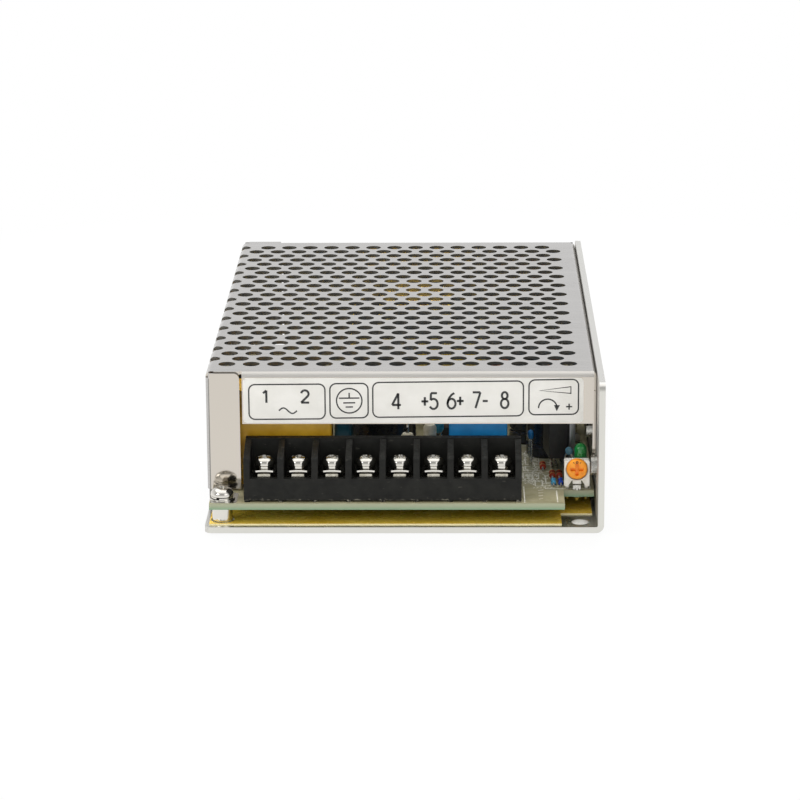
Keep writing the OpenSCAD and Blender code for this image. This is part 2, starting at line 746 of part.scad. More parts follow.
// A can with its grooved sleeve, standing on the board
module can_component(at, d, h) {
    groove = 0.6;
    translate([at[0], at[1], board_top]) rotate_extrude() difference() {
        union() {
            square([d / 2 - groove, h]);
            translate([0, groove]) square([d / 2, h - 2 * groove]);
            translate([d / 2 - groove, groove]) circle(groove);
            translate([d / 2 - groove, h - groove]) circle(groove);
        }
        translate([d / 2, 3.2]) circle(groove);
        translate([-1, h - 0.4]) square([d / 2 - 0.6, 1]);
    }
}

// A flat-backed power device, its back at X = 0 and the foot of its body at Z = 0
module power_device(lead_h) {
    difference() {
        union() {
            span([-device_tab_t, -device_w / 2, 0], [0, device_w / 2, device_h]);
            span([-device_t, -device_w / 2, 0], [-device_tab_t + eps, device_w / 2, device_body_h]);
        }
        bar_x(-device_t, 1, 0, device_hole_z, screw_d + 0.6);
    }
    for (i = [-1:1])
        span([-2.9, i * leg_pitch - 0.4, -lead_h], [-2.4, i * leg_pitch + 0.4, eps]);
}

// A resistor lying on the board along Y, with its two bent leads
module lying_resistor(at, d, l) {
    z = board_top + d / 2;
    lead_y = l / 2 + 0.6;
    for (s = [-1, 1]) bar_z(at[0], at[1] + s * lead_y, board_top, z, 0.5);
    bar_y(at[0], at[1] - lead_y, at[1] + lead_y, z, 0.5);
    translate([at[0], at[1], z]) rotate([90, 0, 0]) rotate_extrude() {
        translate([0, -l / 2 + d / 4]) square([d * 0.42, l - d / 2]);
        for (s = [-1, 1]) translate([0, s * (l / 2 - d / 2)]) intersection() {
            circle(d / 2);
            translate([0, -d]) square([d, 2 * d]);
        }
    }
}

// A moulded circuit with two rows of legs, long side along X
module leg_package(at, legs) {
    leg_t = 0.3;
    lift = 0.6;
    half_l = legs * leg_pitch / 2 - 0.28;
    knee = lift + circuit_h / 2;
    translate([at[0], at[1], board_top]) {
        span([-half_l, -circuit_w / 2, lift], [half_l, circuit_w / 2, lift + circuit_h]);
        for (i = [0:legs - 1], s = [-1, 1])
            translate([(i - (legs - 1) / 2) * leg_pitch, s * (circuit_w / 2 + 0.6), 0]) {
                span([-0.3, -leg_t / 2, 0], [0.3, leg_t / 2, knee]);
                span([-0.3, min(0, -s * 0.7), knee - leg_t], [0.3, max(0, -s * 0.7), knee]);
            }
    }
}

module x_capacitor() color("gold") box_component(x_cap_at, [x_cap_l, x_cap_w, x_cap_h], 0.8);

module varistor() color("teal")
    disc_component(varistor_x + varistor_t / 2, x_cap_at[1] + varistor_d / 2, varistor_d, varistor_t,
        1.6, 7.5);

module y_capacitors() color("steelblue")
    for (y = [y_cap_at[1], y_cap_at[1] + y_cap_pitch])
        disc_component(y_cap_at[0], y, y_cap_d, 3.6, 2, 5);

// A sealed tube with a metal cap and a lead at each end, lying along X
module fuse() color("lightcyan") {
    tube_d = 5;
    cap_d = 5.4;
    cap_l = 5.2;
    tube_l = 20;
    x0 = left_x + 8;
    y = 34.6;
    z = board_top + cap_d / 2 + 1.3;
    bend_x = 2;
    bar_x(x0, x0 + tube_l, y, z, tube_d);
    for (x = [x0 - 0.2, x0 + tube_l + 0.2 - cap_l]) bar_x(x, x + cap_l, y, z, cap_d);
    bar_x(x0 - bend_x, x0 + tube_l + bend_x, y, z, lead_d);
    for (x = [x0 - bend_x, x0 + tube_l + bend_x]) {
        bar_z(x, y, board_top, z, lead_d);
        translate([x, y, z]) sphere(d = lead_d);
    }
}

// A closed frame of ferrite, its two upright legs inside the coils
module line_choke_core() color("dimgray") translate([choke_at[0], choke_at[1], board_top + choke_foot])
    translate([0, choke_core_t / 2, 0]) rotate([90, 0, 0]) linear_extrude(choke_core_t) difference() {
        translate([-choke_core_w / 2, 0]) round_square([choke_core_w, choke_core_h], 0.8);
        translate([-choke_core_w / 2 + choke_leg, choke_leg])
            square([choke_core_w - 2 * choke_leg, choke_core_h - 2 * choke_leg]);
    }

// Two wound bobbins round the upright legs of the choke's core, and the foot that carries it
module line_choke_coils() color([0.2, 0.18, 0.16]) translate([choke_at[0], choke_at[1], board_top]) {
    coil_w = choke_leg + 4.2;
    coil_l = choke_core_t + 7;
    coil_h = choke_core_h - 2 * choke_leg - 2 * bore_gap;
    for (s = [-1, 1])
        translate([s * (choke_core_w - choke_leg) / 2, 0, choke_foot + choke_leg + bore_gap])
            linear_extrude(coil_h) difference() {
                translate([-coil_w / 2, -coil_l / 2]) round_square([coil_w, coil_l], 2.5);
                square([choke_leg + 2 * bore_gap, choke_core_t + 2 * bore_gap], center = true);
            }
    linear_extrude(choke_foot) square([choke_core_w + 1.4, coil_l - 3], center = true);
}

module thermistor() color([0.16, 0.2, 0.16])
    disc_component(thermistor_at[0], thermistor_at[1], thermistor_d, 5, 2, 6);

// A flat moulding on four leads in a row, one upper corner cut to mark the polarity
module bridge_rectifier() color([0.12, 0.12, 0.12]) translate([bridge_at[0], bridge_at[1], board_top]) {
    half_w = 7.4;
    body_h = 11;
    body_t = 3.6;
    mark = 2;
    lift = 4;
    pitch = 3.8;
    lead_x = body_t / 2 - 0.3;
    translate([0, 0, lift]) rotate([90, 0, 90]) linear_extrude(body_t)
        polygon([[-half_w, 0], [half_w, 0], [half_w, body_h - mark], [half_w - mark, body_h],
            [-half_w, body_h]]);
    for (i = [-1.5:1.5])
        span([lead_x, i * pitch - 0.4, 0], [lead_x + 0.6, i * pitch + 0.4, lift + 0.1]);
}

module bulk_capacitor() color([0.15, 0.15, 0.17]) can_component(bulk_at, bulk_d, bulk_h);

// Two halves that meet in the middle, each a yoke with two legs and half the round post
module transformer_core() color([0.2, 0.2, 0.21]) translate([core_at[0], core_at[1], core_z]) {
    seam = 0.05;
    for (s = [0, 1]) mirror([0, s, 0]) {
        difference() {
            span([-core_w / 2, seam, -core_t / 2], [core_w / 2, core_l / 2, core_t / 2]);
            span([-core_w / 2 + core_leg, -1, -core_t],
                [core_w / 2 - core_leg, core_l / 2 - core_yoke, core_t]);
        }
        bar_y(0, seam, core_l / 2 - core_yoke + eps, 0, core_post_d);
    }
}

// The tube round the post with its end cheeks and the two pin rails below
module transformer_bobbin() color([0.14, 0.13, 0.12]) translate([core_at[0], core_at[1], core_z]) {
    rail_h = 4;
    foot_w = 4;
    rail_w = core_w - foot_w;
    rail_y = bobbin_end - cheek_t;
    rail_top = -core_t / 2 - bobbin_gap;
    low = board_top - core_z;
    difference() {
        union() {
            bar_y(0, -bobbin_end, bobbin_end, 0, tube_d);
            for (s = [0, 1]) mirror([0, s, 0]) {
                bar_y(0, bobbin_end - cheek_t, bobbin_end, 0, winding_d + 1);
                span([-rail_w / 2, rail_y, rail_top - rail_h], [rail_w / 2, core_l / 2, rail_top]);
                for (x = [-rail_w / 2, rail_w / 2 - foot_w])
                    span([x, rail_y, low], [x + foot_w, core_l / 2, rail_top]);
            }
        }
        bar_y(0, -window_l, window_l, 0, core_post_d + 2 * bobbin_gap);
    }
}

module transformer_winding() color("gold") translate([core_at[0], core_at[1], core_z]) {
    end = bobbin_end - cheek_t - bobbin_gap;
    difference() {
        bar_y(0, -end, end, 0, winding_d);
        bar_y(0, -end - 1, end + 1, 0, tube_d + bore_gap);
    }
}

// The band of tape that holds the two halves of the core together
module transformer_tape() color("gold") translate([core_at[0], core_at[1], core_z]) {
    tape_t = 0.3;
    tape_h = 8;
    translate([0, 0, core_t / 2 - 1 - tape_h]) linear_extrude(tape_h) difference() {
        square([core_w + 2 * tape_t, core_l + 2 * tape_t], center = true);
        square([core_w, core_l], center = true);
    }
}

// The switching transistor at the rear and the output rectifier nearer the front
module power_devices() color([0.12, 0.12, 0.12])
    for (y = device_y) translate([wall_in - pad_t, y, device_z]) power_device(device_lead);

module insulating_pads() color("slategray") for (y = device_y) difference() {
    span([wall_in - pad_t, y - device_w / 2 - 1, device_z - 1],
        [wall_in, y + device_w / 2 + 1, device_z + device_h + 0.8]);
    bar_x(wall_in - 2, wall_in + 1, y, device_z + device_hole_z, screw_d + 0.6);
}

module output_inductor_core() color("khaki") translate([coil_at[0], coil_at[1], board_top + wire_d])
    linear_extrude(ring_h) difference() {
        circle(d = ring_d);
        circle(d = ring_hole_d);
    }

// Turns of wire round the ring
module output_inductor_coil() color("peru") {
    turns = 16;
    lie = 0.05;
    in_r = ring_hole_d / 2 - lie;
    out_r = ring_d / 2 + lie;
    for (i = [0:turns - 1])
        translate([coil_at[0], coil_at[1], board_top]) rotate(i * 360 / turns) rotate([90, 0, 0])
            translate([0, 0, -wire_d / 2]) linear_extrude(wire_d) difference() {
                translate([in_r - wire_d, 0]) square([out_r - in_r + 2 * wire_d, ring_h + 2 * wire_d]);
                translate([in_r, wire_d - lie]) square([out_r - in_r, ring_h + 2 * lie]);
            }
}

module output_capacitors() color([0.12, 0.14, 0.2]) {
    for (at = out_cap_at) can_component(at, out_cap_d, out_cap_h);
}

module relay() color("royalblue") box_component(relay_at, [relay_w, relay_l, relay_h], 0.6);

module regulator() color([0.1, 0.1, 0.1])
    translate([regulator_x, regulator_y, board_top + regulator_lead]) power_device(regulator_lead);

// The plate behind the regulator with the foot that stands on the board
module heat_sink() color("darkgray") {
    half_w = sink_w / 2;
    span([regulator_x, regulator_y - half_w, board_top],
        [regulator_x + sink_t, regulator_y + half_w, board_top + sink_h]);
    span([regulator_x, regulator_y + half_w - sink_foot, board_top],
        [regulator_x + sink_foot, regulator_y + half_w, board_top + sink_t]);
}

module control_circuit() color([0.1, 0.1, 0.1]) leg_package([circuit_x, circuit_y], 4);

module optocoupler() color([0.1, 0.1, 0.1]) leg_package([circuit_x, circuit_y + 12], 2);

// Resistors on end, the upper lead bent over and down to the board
module upright_resistors() color("tan") {
    body_d = 3.2;
    body_l = 10;
    lift = 1.6;
    bend_r = 1.8;
    for (at = upright_at) translate([at[0], at[1], board_top]) {
        top = lift + body_l + 1.2;
        translate([0, 0, lift]) rotate_extrude() {
            square([body_d / 2 - 0.5, body_l]);
            translate([0, 0.5]) square([body_d / 2, body_l - 1]);
            for (h = [0.5, body_l - 0.5]) translate([body_d / 2 - 0.5, h]) circle(0.5);
        }
        cylinder(h = top, d = lead_d);
        translate([0, 2 * bend_r, 0]) cylinder(h = top, d = lead_d);
        translate([0, bend_r, top]) rotate([90, 0, 90]) rotate_extrude(angle = 180)
            translate([bend_r, 0]) circle(d = lead_d);
    }
}

module red_resistors() color("firebrick") for (at = red_at) lying_resistor(at, 1.6, 3.4);

module blue_resistors() color("dodgerblue") for (at = blue_at) lying_resistor(at, 1.6, 3.2);

module disc_capacitors() color("deepskyblue")
    for (at = disc_at) disc_component(at[0], at[1], disc_d, disc_t, disc_lift, disc_span);

from_front() chassis();
from_front() cover();
from_front() cover_screws();
from_front() clinch_nuts();
from_front() front_label();
from_front() insulating_sheet();
from_front() board();
from_front() board_pillars();
from_front() board_washers();
from_front() machine_screws();
from_front() terminal_block();
from_front() terminal_plates();
for (i = [1:poles]) {
    from_front() terminal_washer(i);
    from_front() terminal_screw(i);
}
from_front() trimmer_frame();
from_front() trimmer_rotor();
from_front() trimmer_pins();
from_front() lamp_lens();
from_front() lamp_leads();
from_front() x_capacitor();
from_front() varistor();
from_front() y_capacitors();
from_front() fuse();
from_front() line_choke_core();
from_front() line_choke_coils();
from_front() thermistor();
from_front() bridge_rectifier();
from_front() bulk_capacitor();
from_front() transformer_core();
from_front() transformer_bobbin();
from_front() transformer_winding();
from_front() transformer_tape();
from_front() power_devices();
from_front() insulating_pads();
from_front() output_inductor_core();
from_front() output_inductor_coil();
from_front() output_capacitors();
from_front() relay();
from_front() regulator();
from_front() heat_sink();
from_front() control_circuit();
from_front() optocoupler();
from_front() upright_resistors();
from_front() red_resistors();
from_front() blue_resistors();
from_front() disc_capacitors();
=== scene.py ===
from math import cos, pi, radians, sin
from random import Random

import bmesh
import bpy
from mathutils import Euler, Matrix, Vector


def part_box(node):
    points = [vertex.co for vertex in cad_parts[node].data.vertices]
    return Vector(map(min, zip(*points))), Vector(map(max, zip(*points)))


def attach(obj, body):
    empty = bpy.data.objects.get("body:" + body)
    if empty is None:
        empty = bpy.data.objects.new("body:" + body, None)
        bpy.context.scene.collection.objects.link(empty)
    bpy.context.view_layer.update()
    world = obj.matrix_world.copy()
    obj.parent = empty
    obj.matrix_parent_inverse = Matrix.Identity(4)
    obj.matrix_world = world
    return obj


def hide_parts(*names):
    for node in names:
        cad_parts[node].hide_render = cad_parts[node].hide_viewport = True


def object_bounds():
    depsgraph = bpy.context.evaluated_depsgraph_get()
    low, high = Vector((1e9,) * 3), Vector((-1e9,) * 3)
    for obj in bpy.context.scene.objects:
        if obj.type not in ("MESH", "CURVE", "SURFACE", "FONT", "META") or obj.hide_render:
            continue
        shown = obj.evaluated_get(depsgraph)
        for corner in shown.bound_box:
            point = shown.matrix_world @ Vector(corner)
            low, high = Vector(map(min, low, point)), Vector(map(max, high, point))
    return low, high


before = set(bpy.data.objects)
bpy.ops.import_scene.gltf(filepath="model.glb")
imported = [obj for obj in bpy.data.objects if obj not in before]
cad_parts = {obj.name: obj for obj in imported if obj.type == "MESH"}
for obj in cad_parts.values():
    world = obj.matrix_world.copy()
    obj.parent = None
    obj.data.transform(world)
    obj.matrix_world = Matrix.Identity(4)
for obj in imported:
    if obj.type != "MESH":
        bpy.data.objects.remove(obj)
cad_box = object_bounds()


# Chassis: the bottom plate, the right wall and two ears, folded from one aluminium sheet 1.5 mm thick.
# It keeps its mill finish, so faint rolling lines run along the case and the sheared edges are bright.
mm = 0.001
front = cad_box[0][1] / mm


def linear(code):
    """The linear colour of an sRGB hex value."""
    parts = [int(code[i:i + 2], 16) / 255 for i in (1, 3, 5)]
    return [v / 12.92 if v <= 0.04045 else ((v + 0.055) / 1.055) ** 2.4 for v in parts] + [1]


def add(tree, kind, inputs=None, **settings):
    """Adds one node with its settings; an input is a value, a socket or a node's first output."""
    node = tree.nodes.new(kind)
    for name, value in settings.items():
        setattr(node, name, value)
    for socket, value in (inputs or {}).items():
        value = value.outputs[0] if isinstance(value, bpy.types.Node) else value
        if isinstance(value, bpy.types.NodeSocket):
            tree.links.new(value, node.inputs[socket])
        else:
            node.inputs[socket].default_value = value
    return node


def grain(material, size, stretch=(1, 1, 1), detail=2.0):
    """A noise whose grains are size millimetres across, drawn out along the axes by stretch."""
    tree = material.node_tree
    place = add(tree, "ShaderNodeTexCoord").outputs["Object"]
    scale = [1 / (size * mm * s) for s in stretch]
    scaled = add(tree, "ShaderNodeMapping", {"Vector": place, "Scale": scale})
    return add(tree, "ShaderNodeTexNoise", {"Vector": scaled, "Scale": 1.0, "Detail": detail})


def vary(material, socket, factor, low, high, span=(0.35, 0.65)):
    """Runs a socket of the shader from low to high, two numbers or two colours, along a pattern.

    A low of "below" keeps what the socket has already.
    """
    tree = material.node_tree
    target = tree.nodes["Principled BSDF"].inputs[socket]
    ramp = {"Value": factor, "From Min": span[0], "From Max": span[1]}
    ramp = add(tree, "ShaderNodeMapRange", ramp)
    first, second, result, kind = (6, 7, 2, "RGBA") if isinstance(high, str) else (2, 3, 0, "FLOAT")
    if low == "below":
        low = target.links[0].from_socket if target.is_linked else target.default_value
    elif isinstance(low, str):
        low = linear(low)
    high = linear(high) if isinstance(high, str) else high
    mixed = add(tree, "ShaderNodeMix", {0: ramp, first: low, second: high}, data_type=kind)
    tree.links.new(mixed.outputs[result], target)


def finish(name, low, high=None, size=1.0, stretch=(1, 1, 1), detail=2.0, **values):
    """A new material of one shade, or of two that mix in grains of a size in millimetres.

    The shader's other values are given by the names of their sockets.
    """
    material = bpy.data.materials.new(name)
    material.use_nodes = True
    sockets = material.node_tree.nodes["Principled BSDF"].inputs
    sockets["Base Color"].default_value = linear(low)
    for socket, value in values.items():
        sockets[socket.replace("_", " ")].default_value = value
    if high:
        vary(material, "Base Color", grain(material, size, stretch, detail), low, high)
    return material


def relief(material, factor, depth):
    """Raises the surface by depth millimetres along a pattern, over any relief already there."""
    tree = material.node_tree
    normal = tree.nodes["Principled BSDF"].inputs["Normal"]
    inputs = {"Height": factor, "Distance": depth * mm}
    if normal.is_linked:
        inputs["Normal"] = normal.links[0].from_socket
    tree.links.new(add(tree, "ShaderNodeBump", inputs).outputs[0], normal)


def facing(material, axis):
    """How far the true surface faces along an axis, from -1 to 1."""
    tree = material.node_tree
    normal = add(tree, "ShaderNodeNewGeometry").outputs["True Normal"]
    return add(tree, "ShaderNodeSeparateXYZ", {0: normal}).outputs[axis]


def across(material, axis):
    """How squarely the true surface faces along an axis, either way, from 0 to 1."""
    way = facing(material, axis)
    return add(material.node_tree, "ShaderNodeMath", {0: way}, operation="ABSOLUTE")


def dress(material, *names):
    """Gives CAD nodes a material."""
    for name in names:
        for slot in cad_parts[name].material_slots:
            slot.material = material


# Mill-finish rolled aluminium: a soft mirror, streaked along the rolling and clean at its sheared edges.
rolled_aluminium = finish("mill_finish_rolled_aluminium", "#CDCBC6", "#DEDCD7", 0.5, (1, 80, 1),
                          Metallic=1.0)
vary(rolled_aluminium, "Base Color", grain(rolled_aluminium, 14, (1, 3, 1), 5), "below", "#D9D7D1")
vary(rolled_aluminium, "Roughness", grain(rolled_aluminium, 6, (1, 4, 1), 4), 0.24, 0.4)
sheared = across(rolled_aluminium, "Y")
vary(rolled_aluminium, "Base Color", sheared, "below", "#DEDDD6", (0.8, 0.95))
vary(rolled_aluminium, "Roughness", sheared, "below", 0.34, (0.8, 0.95))
vary(rolled_aluminium, "Base Color", facing(rolled_aluminium, "Z"), "below", "#DDDCD8", (0.8, 0.95))
vary(rolled_aluminium, "Roughness", facing(rolled_aluminium, "X"), "below", 0.62, (-0.8, -0.95))
relief(rolled_aluminium, grain(rolled_aluminium, 0.8, (1, 60, 1)), 0.002)
dress(rolled_aluminium, "chassis")


# Insulating sheet: a stiff amber film that lies on the bottom plate under the board.
# It is punched round the pillars and the ears, and its cut edges show pale.
# Polyester film: clear amber with a soft gloss, a little wavy where it doesn't lie flat.
amber_film = finish("punched_amber_polyester_film", "#E2B73A", "#EEC850", 9, detail=4)
vary(amber_film, "Roughness", grain(amber_film, 2.5, detail=3), 0.2, 0.34)
relief(amber_film, grain(amber_film, 20), 0.05)
vary(amber_film, "Base Color", facing(amber_film, "Z"), "below", "#EFE3B4", (0.9, 0.4))
dress(amber_film, "insulating_sheet")


# Pillars, washers and machine screws: turned steel, bright nickel plated. Four pillars pressed into the
# bottom plate carry the board, and two more screws hold the power devices. Each screw has a cross punched in
# its pan head; on the board a spring washer and a flat washer lie under it.

# Bright nickel: a hard clear mirror, with a faint haze from handling.
bright_nickel = finish("bright_nickel_plated_steel", "#DEDBD3", Metallic=1.0)
vary(bright_nickel, "Roughness", grain(bright_nickel, 0.8, detail=4), 0.05, 0.13)
relief(bright_nickel, grain(bright_nickel, 1.1, detail=1), 0.03)
# Rolled threads: the same plating over crests that scatter the light, but painted a paler colour than the
# nickel as painted light, so they look pale and even in the shade under the washers.
rolled_thread = finish("rolled_nickel_plated_thread", "#F2EEE2", Metallic=1.0)
vary(rolled_thread, "Roughness", grain(rolled_thread, 0.4, detail=4), 0.62, 0.78)
dress(bright_nickel, "board_pillars")


def smooth(mesh, sharp=35):
    """Shades a mesh smooth, except along edges sharper than so many degrees."""
    mesh.shade_smooth()
    mesh.set_sharp_from_angle(angle=radians(sharp))
    return mesh


def shaped(shape, material):
    """A mesh of a finished shape in millimetres."""
    shape.normal_update()
    bmesh.ops.recalc_face_normals(shape, faces=shape.faces)
    mesh = bpy.data.meshes.new("shaped")
    shape.to_mesh(mesh)
    shape.free()
    mesh.materials.append(material)
    return smooth(mesh)


def looped(shape, rings, closed):
    """Faces between rings of points, each ring joined to the next; a ring of one point closes an end."""
    sides = max(len(ring) for ring in rings)
    for a, b in zip(rings, rings[1:] + rings[:1] if closed else rings[1:]):
        for k in range(sides):
            loop = [a[k % len(a)], a[(k + 1) % len(a)], b[(k + 1) % len(b)], b[k % len(b)]]
            shape.faces.new(list(dict.fromkeys(loop)))


def turned(profile, material, closed=False, sides=40):
    """A piece turned round Z from a profile of (radius, height); a closed profile leaves a bore."""
    shape = bmesh.new()
    rings = []
    for r, z in profile:
        angles = [2 * pi * k / sides for k in range(sides if r else 1)]
        rings.append([shape.verts.new((r * cos(a), r * sin(a), z)) for a in angles])
    looped(shape, rings, closed)
    return shaped(shape, material)


def wedge(top, foot, high, low, material):
    """A block from a rectangle of half sizes top at one height to a smaller one, foot, below it."""
    shape = bmesh.new()
    bmesh.ops.create_cube(shape, size=2)
    for vert in shape.verts:
        half = top if vert.co.z > 0 else foot
        vert.co = (vert.co.x * half[0], vert.co.y * half[1], high if vert.co.z > 0 else low)
    return shaped(shape, material)


def at(mesh, place, turn=(0, 0, 0)):
    """Turns a mesh by degrees round X, Y and Z, then moves it."""
    mesh.transform(Matrix.Translation(place) @ Euler([radians(a) for a in turn]).to_matrix().to_4x4())
    return mesh


def evaluated(thing):
    """The plain mesh of an object with its modifiers."""
    bpy.context.view_layer.update()
    return bpy.data.meshes.new_from_object(thing.evaluated_get(bpy.context.evaluated_depsgraph_get()))


def shown(name, data):
    """A new object in the scene."""
    thing = bpy.data.objects.new(name, data)
    bpy.context.scene.collection.objects.link(thing)
    return thing


def cut(mesh, *cutters):
    """A mesh with other meshes cut out of it."""
    blank, *tools = [shown("blank", part) for part in (mesh, *cutters)]
    for tool in tools:
        modifier = blank.modifiers.new("cut", "BOOLEAN")
        modifier.solver = "EXACT"
        modifier.object = tool
    result = evaluated(blank)
    for thing in (blank, *tools):
        bpy.data.objects.remove(thing)
    return smooth(result)


def new_tree(name, **sockets):
    """A geometry tree with named inputs, and those inputs."""
    tree = bpy.data.node_groups.new(name, "GeometryNodeTree")
    for socket, kind in {"Geometry": "Geometry", **sockets, "Finish": "Material"}.items():
        tree.interface.new_socket(socket, in_out="INPUT", socket_type="NodeSocket" + kind)
    tree.interface.new_socket("Geometry", in_out="OUTPUT", socket_type="NodeSocketGeometry")
    return tree, add(tree, "NodeGroupInput").outputs


def ended(tree, geometry, given):
    """Ends a tree in plain geometry of the material that was given."""
    whole = add(tree, "GeometryNodeRealizeInstances", {0: geometry})
    last = add(tree, "GeometryNodeSetMaterial", {"Geometry": whole, "Material": given["Finish"]})
    add(tree, "NodeGroupOutput", {0: last})


def grown(data, tree, **inputs):
    """The plain mesh that a tree makes of some data, its named inputs set by their identifiers."""
    start = shown("start", data)
    modifier = start.modifiers.new("tree", "NODES")
    modifier.node_group = tree
    for item in tree.interface.items_tree:
        if item.in_out == "INPUT" and item.name in inputs:
            modifier[item.identifier] = inputs[item.name]
    mesh = evaluated(start)
    bpy.data.objects.remove(start)
    return mesh


# Draws a round wire along curves
drawn_wire, given = new_tree("drawn_wire", Width="Float")
half = add(drawn_wire, "ShaderNodeMath", {0: given["Width"], 1: 0.5}, operation="MULTIPLY")
section = add(drawn_wire, "GeometryNodeCurvePrimitiveCircle", {"Resolution": 10, "Radius": half})
swept = {"Curve": given["Geometry"], "Profile Curve": section, "Fill Caps": True}
swept = add(drawn_wire, "GeometryNodeCurveToMesh", swept)
ended(drawn_wire, swept, given)

# Sets copies of one shape out on points, each turned by the point's own angles
set_out, given = new_tree("set_out", Shape="Object")
shape = add(set_out, "GeometryNodeObjectInfo", {"Object": given["Shape"]}).outputs["Geometry"]
turn = add(set_out, "GeometryNodeInputNamedAttribute", {"Name": "turn"}, data_type="FLOAT_VECTOR")
turn = add(set_out, "FunctionNodeEulerToRotation", {0: turn})
copies = {"Points": given["Geometry"], "Instance": shape, "Rotation": turn}
copies = add(set_out, "GeometryNodeInstanceOnPoints", copies)
ended(set_out, copies, given)


def along(paths, tree, width, material):
    """What a tree sweeps along paths of points in millimetres; one that ends where it starts is closed."""
    curve = bpy.data.curves.new("paths", "CURVE")
    curve.dimensions = "3D"
    for points in paths:
        ring = len(points) > 2 and (Vector(points[0]) - Vector(points[-1])).length < 0.001
        points = points[:-1] if ring else points
        spline = curve.splines.new("POLY")
        spline.points.add(len(points) - 1)
        spline.use_cyclic_u = ring
        for place, point in zip(spline.points, points):
            place.co = (*point, 0)[:3] + (1,)
    return smooth(grown(curve, tree, Width=width, Finish=material), 50)


def repeated(mesh, places):
    """Copies of a mesh at places, each a point in millimetres and its turn in degrees."""
    points = bpy.data.meshes.new("places")
    points.from_pydata([place for place, _ in places], [], [])
    turns = points.attributes.new("turn", "FLOAT_VECTOR", "POINT")
    for item, (_, angles) in zip(turns.data, places):
        item.vector = [radians(a) for a in angles]
    pattern = shown("pattern", mesh)
    result = grown(points, set_out, Shape=pattern, Finish=mesh.materials[0])
    bpy.data.objects.remove(pattern)
    return result


def merged(name, meshes):
    """Several meshes as one, each face keeping its material."""
    whole = bmesh.new()
    materials = []
    for mesh in [mesh.copy() for mesh in meshes]:
        materials += [material for material in mesh.materials if material not in materials]
        order = [materials.index(material) for material in mesh.materials]
        for face in mesh.polygons:
            face.material_index = order[face.material_index]
        whole.from_mesh(mesh)
    result = bpy.data.meshes.new(name)
    whole.to_mesh(result)
    whole.free()
    for material in materials:
        result.materials.append(material)
    return result


def put(name, meshes, slot, *nodes, body="case"):
    """Makes one piece of meshes in millimetres, riding on a body in place of the CAD nodes named."""
    mesh = merged(name, meshes)
    mesh.transform(Matrix.Scale(mm, 4))
    thing = shown(name, mesh)
    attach(thing, body)
    if nodes:
        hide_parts(*nodes)


def cross_screw(head_d, head_h, cross, thread_d, length, material):
    """A pan-head screw, seat at the origin: turned head and core, punched cross, rolled thread."""
    r, core = head_d / 2, thread_d / 2 - 0.2
    angles = [radians(a) for a in range(0, 91, 9)]
    dome = [(r * (0.14 + 0.86 * cos(a)), head_h * (0.2 + 0.8 * sin(a))) for a in angles]
    stem = [(0, -length), (core - 0.25, -length), (core, 0.3 - length), (core, 0), (r - 0.15, 0), (r, 0.15)]
    blank = turned(stem + dome + [(0, head_h)], material)
    brim, depth = head_h + 0.1, head_h - cross * 0.42
    wide, narrow = (cross / 2, cross * 0.12), (cross * 0.22, cross * 0.08)
    wings = [wedge(wide, narrow, brim, depth, material) for _ in range(2)]
    at(wings[1], (0, 0, 0), (0, 0, 90))
    hole = [(0, depth - 0.15), (cross * 0.16, depth), (cross * 0.27, brim), (0, brim)]
    head = cut(blank, *wings, turned(hole, material, sides=16))
    pitch, steps, crest = 0.5, 16, 0.48
    helix = []
    for k in range(int((length - pitch) / pitch * steps)):
        a = 2 * pi * k / steps
        helix.append((core * cos(a), core * sin(a), pitch * k / steps - length + pitch / 2))
    return [head, along([helix], drawn_wire, crest, rolled_thread)]


def flat_washer(inner, outer, thick, material):
    """A stamped washer with its edges broken, lying on the origin's plane."""
    edge = 0.08
    rim = [(outer - edge, 0), (outer, edge), (outer, thick - edge), (outer - edge, thick)]
    return turned([(inner, 0), *rim, (inner, thick)], material, closed=True)


def spring_washer(inner, outer, thick, material):
    """A split ring, its two ends a little apart in height."""
    shape = bmesh.new()
    rings = []
    steps, gap, climb = 36, 8, 0.12
    section = ((inner, 0), (outer, 0), (outer, thick - climb), (inner, thick - climb))
    for k in range(steps + 1):
        a = radians(gap + (360 - 2 * gap) * k / steps)
        lift = climb * k / steps
        rings.append([shape.verts.new((r * cos(a), r * sin(a), z + lift)) for r, z in section])
    looped(shape, rings, False)
    for end in (rings[0], rings[-1]):
        shape.faces.new(end)
    return shaped(shape, material)


pillars = [(-44.4, front + 5.5), (-44.4, front + 151.5), (42.0, front + 151.5), (42.0, front + 54)]
board_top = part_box("board")[1][2] / mm
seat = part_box("board_washers")[1][2] / mm
washer_bore, flat_thick, play = 1.6, 0.42, 0.01
split_thick = seat - board_top - flat_thick - 2 * play
flat = flat_washer(inner=washer_bore, outer=3.1, thick=flat_thick, material=bright_nickel)
split = spring_washer(inner=washer_bore, outer=2.7, thick=split_thick, material=bright_nickel)
washers = []
# The splits and the crosses were left at any angle
for mesh, z in ((flat, board_top), (split, board_top + flat_thick + play)):
    spots = [((x, y, z), (0, 0, 40 * i + 250)) for i, (x, y) in enumerate(pillars)]
    washers.append(repeated(mesh, spots))
put("board_washers_turned", washers, "plated_fastener", "board_washers")
pan_head = {"head_d": 5.6, "head_h": 2.1, "cross": 3.1, "thread_d": 2.9, "material": bright_nickel}
board_screw = cross_screw(length=6.0, **pan_head)
device_screw = cross_screw(length=2.9, **pan_head)
on_board = [((x, y, seat), (0, 0, 25 + 50 * i)) for i, (x, y) in enumerate(pillars)]
device_x, device_z = 45.4, 26.2
on_wall = [((device_x, front + y, device_z), (0, -90, 0)) for y in (66, 116.5)]
screws = [repeated(mesh, on_board) for mesh in board_screw]
screws += [repeated(mesh, on_wall) for mesh in device_screw]
put("machine_screws_turned", screws, "plated_fastener", "machine_screws")


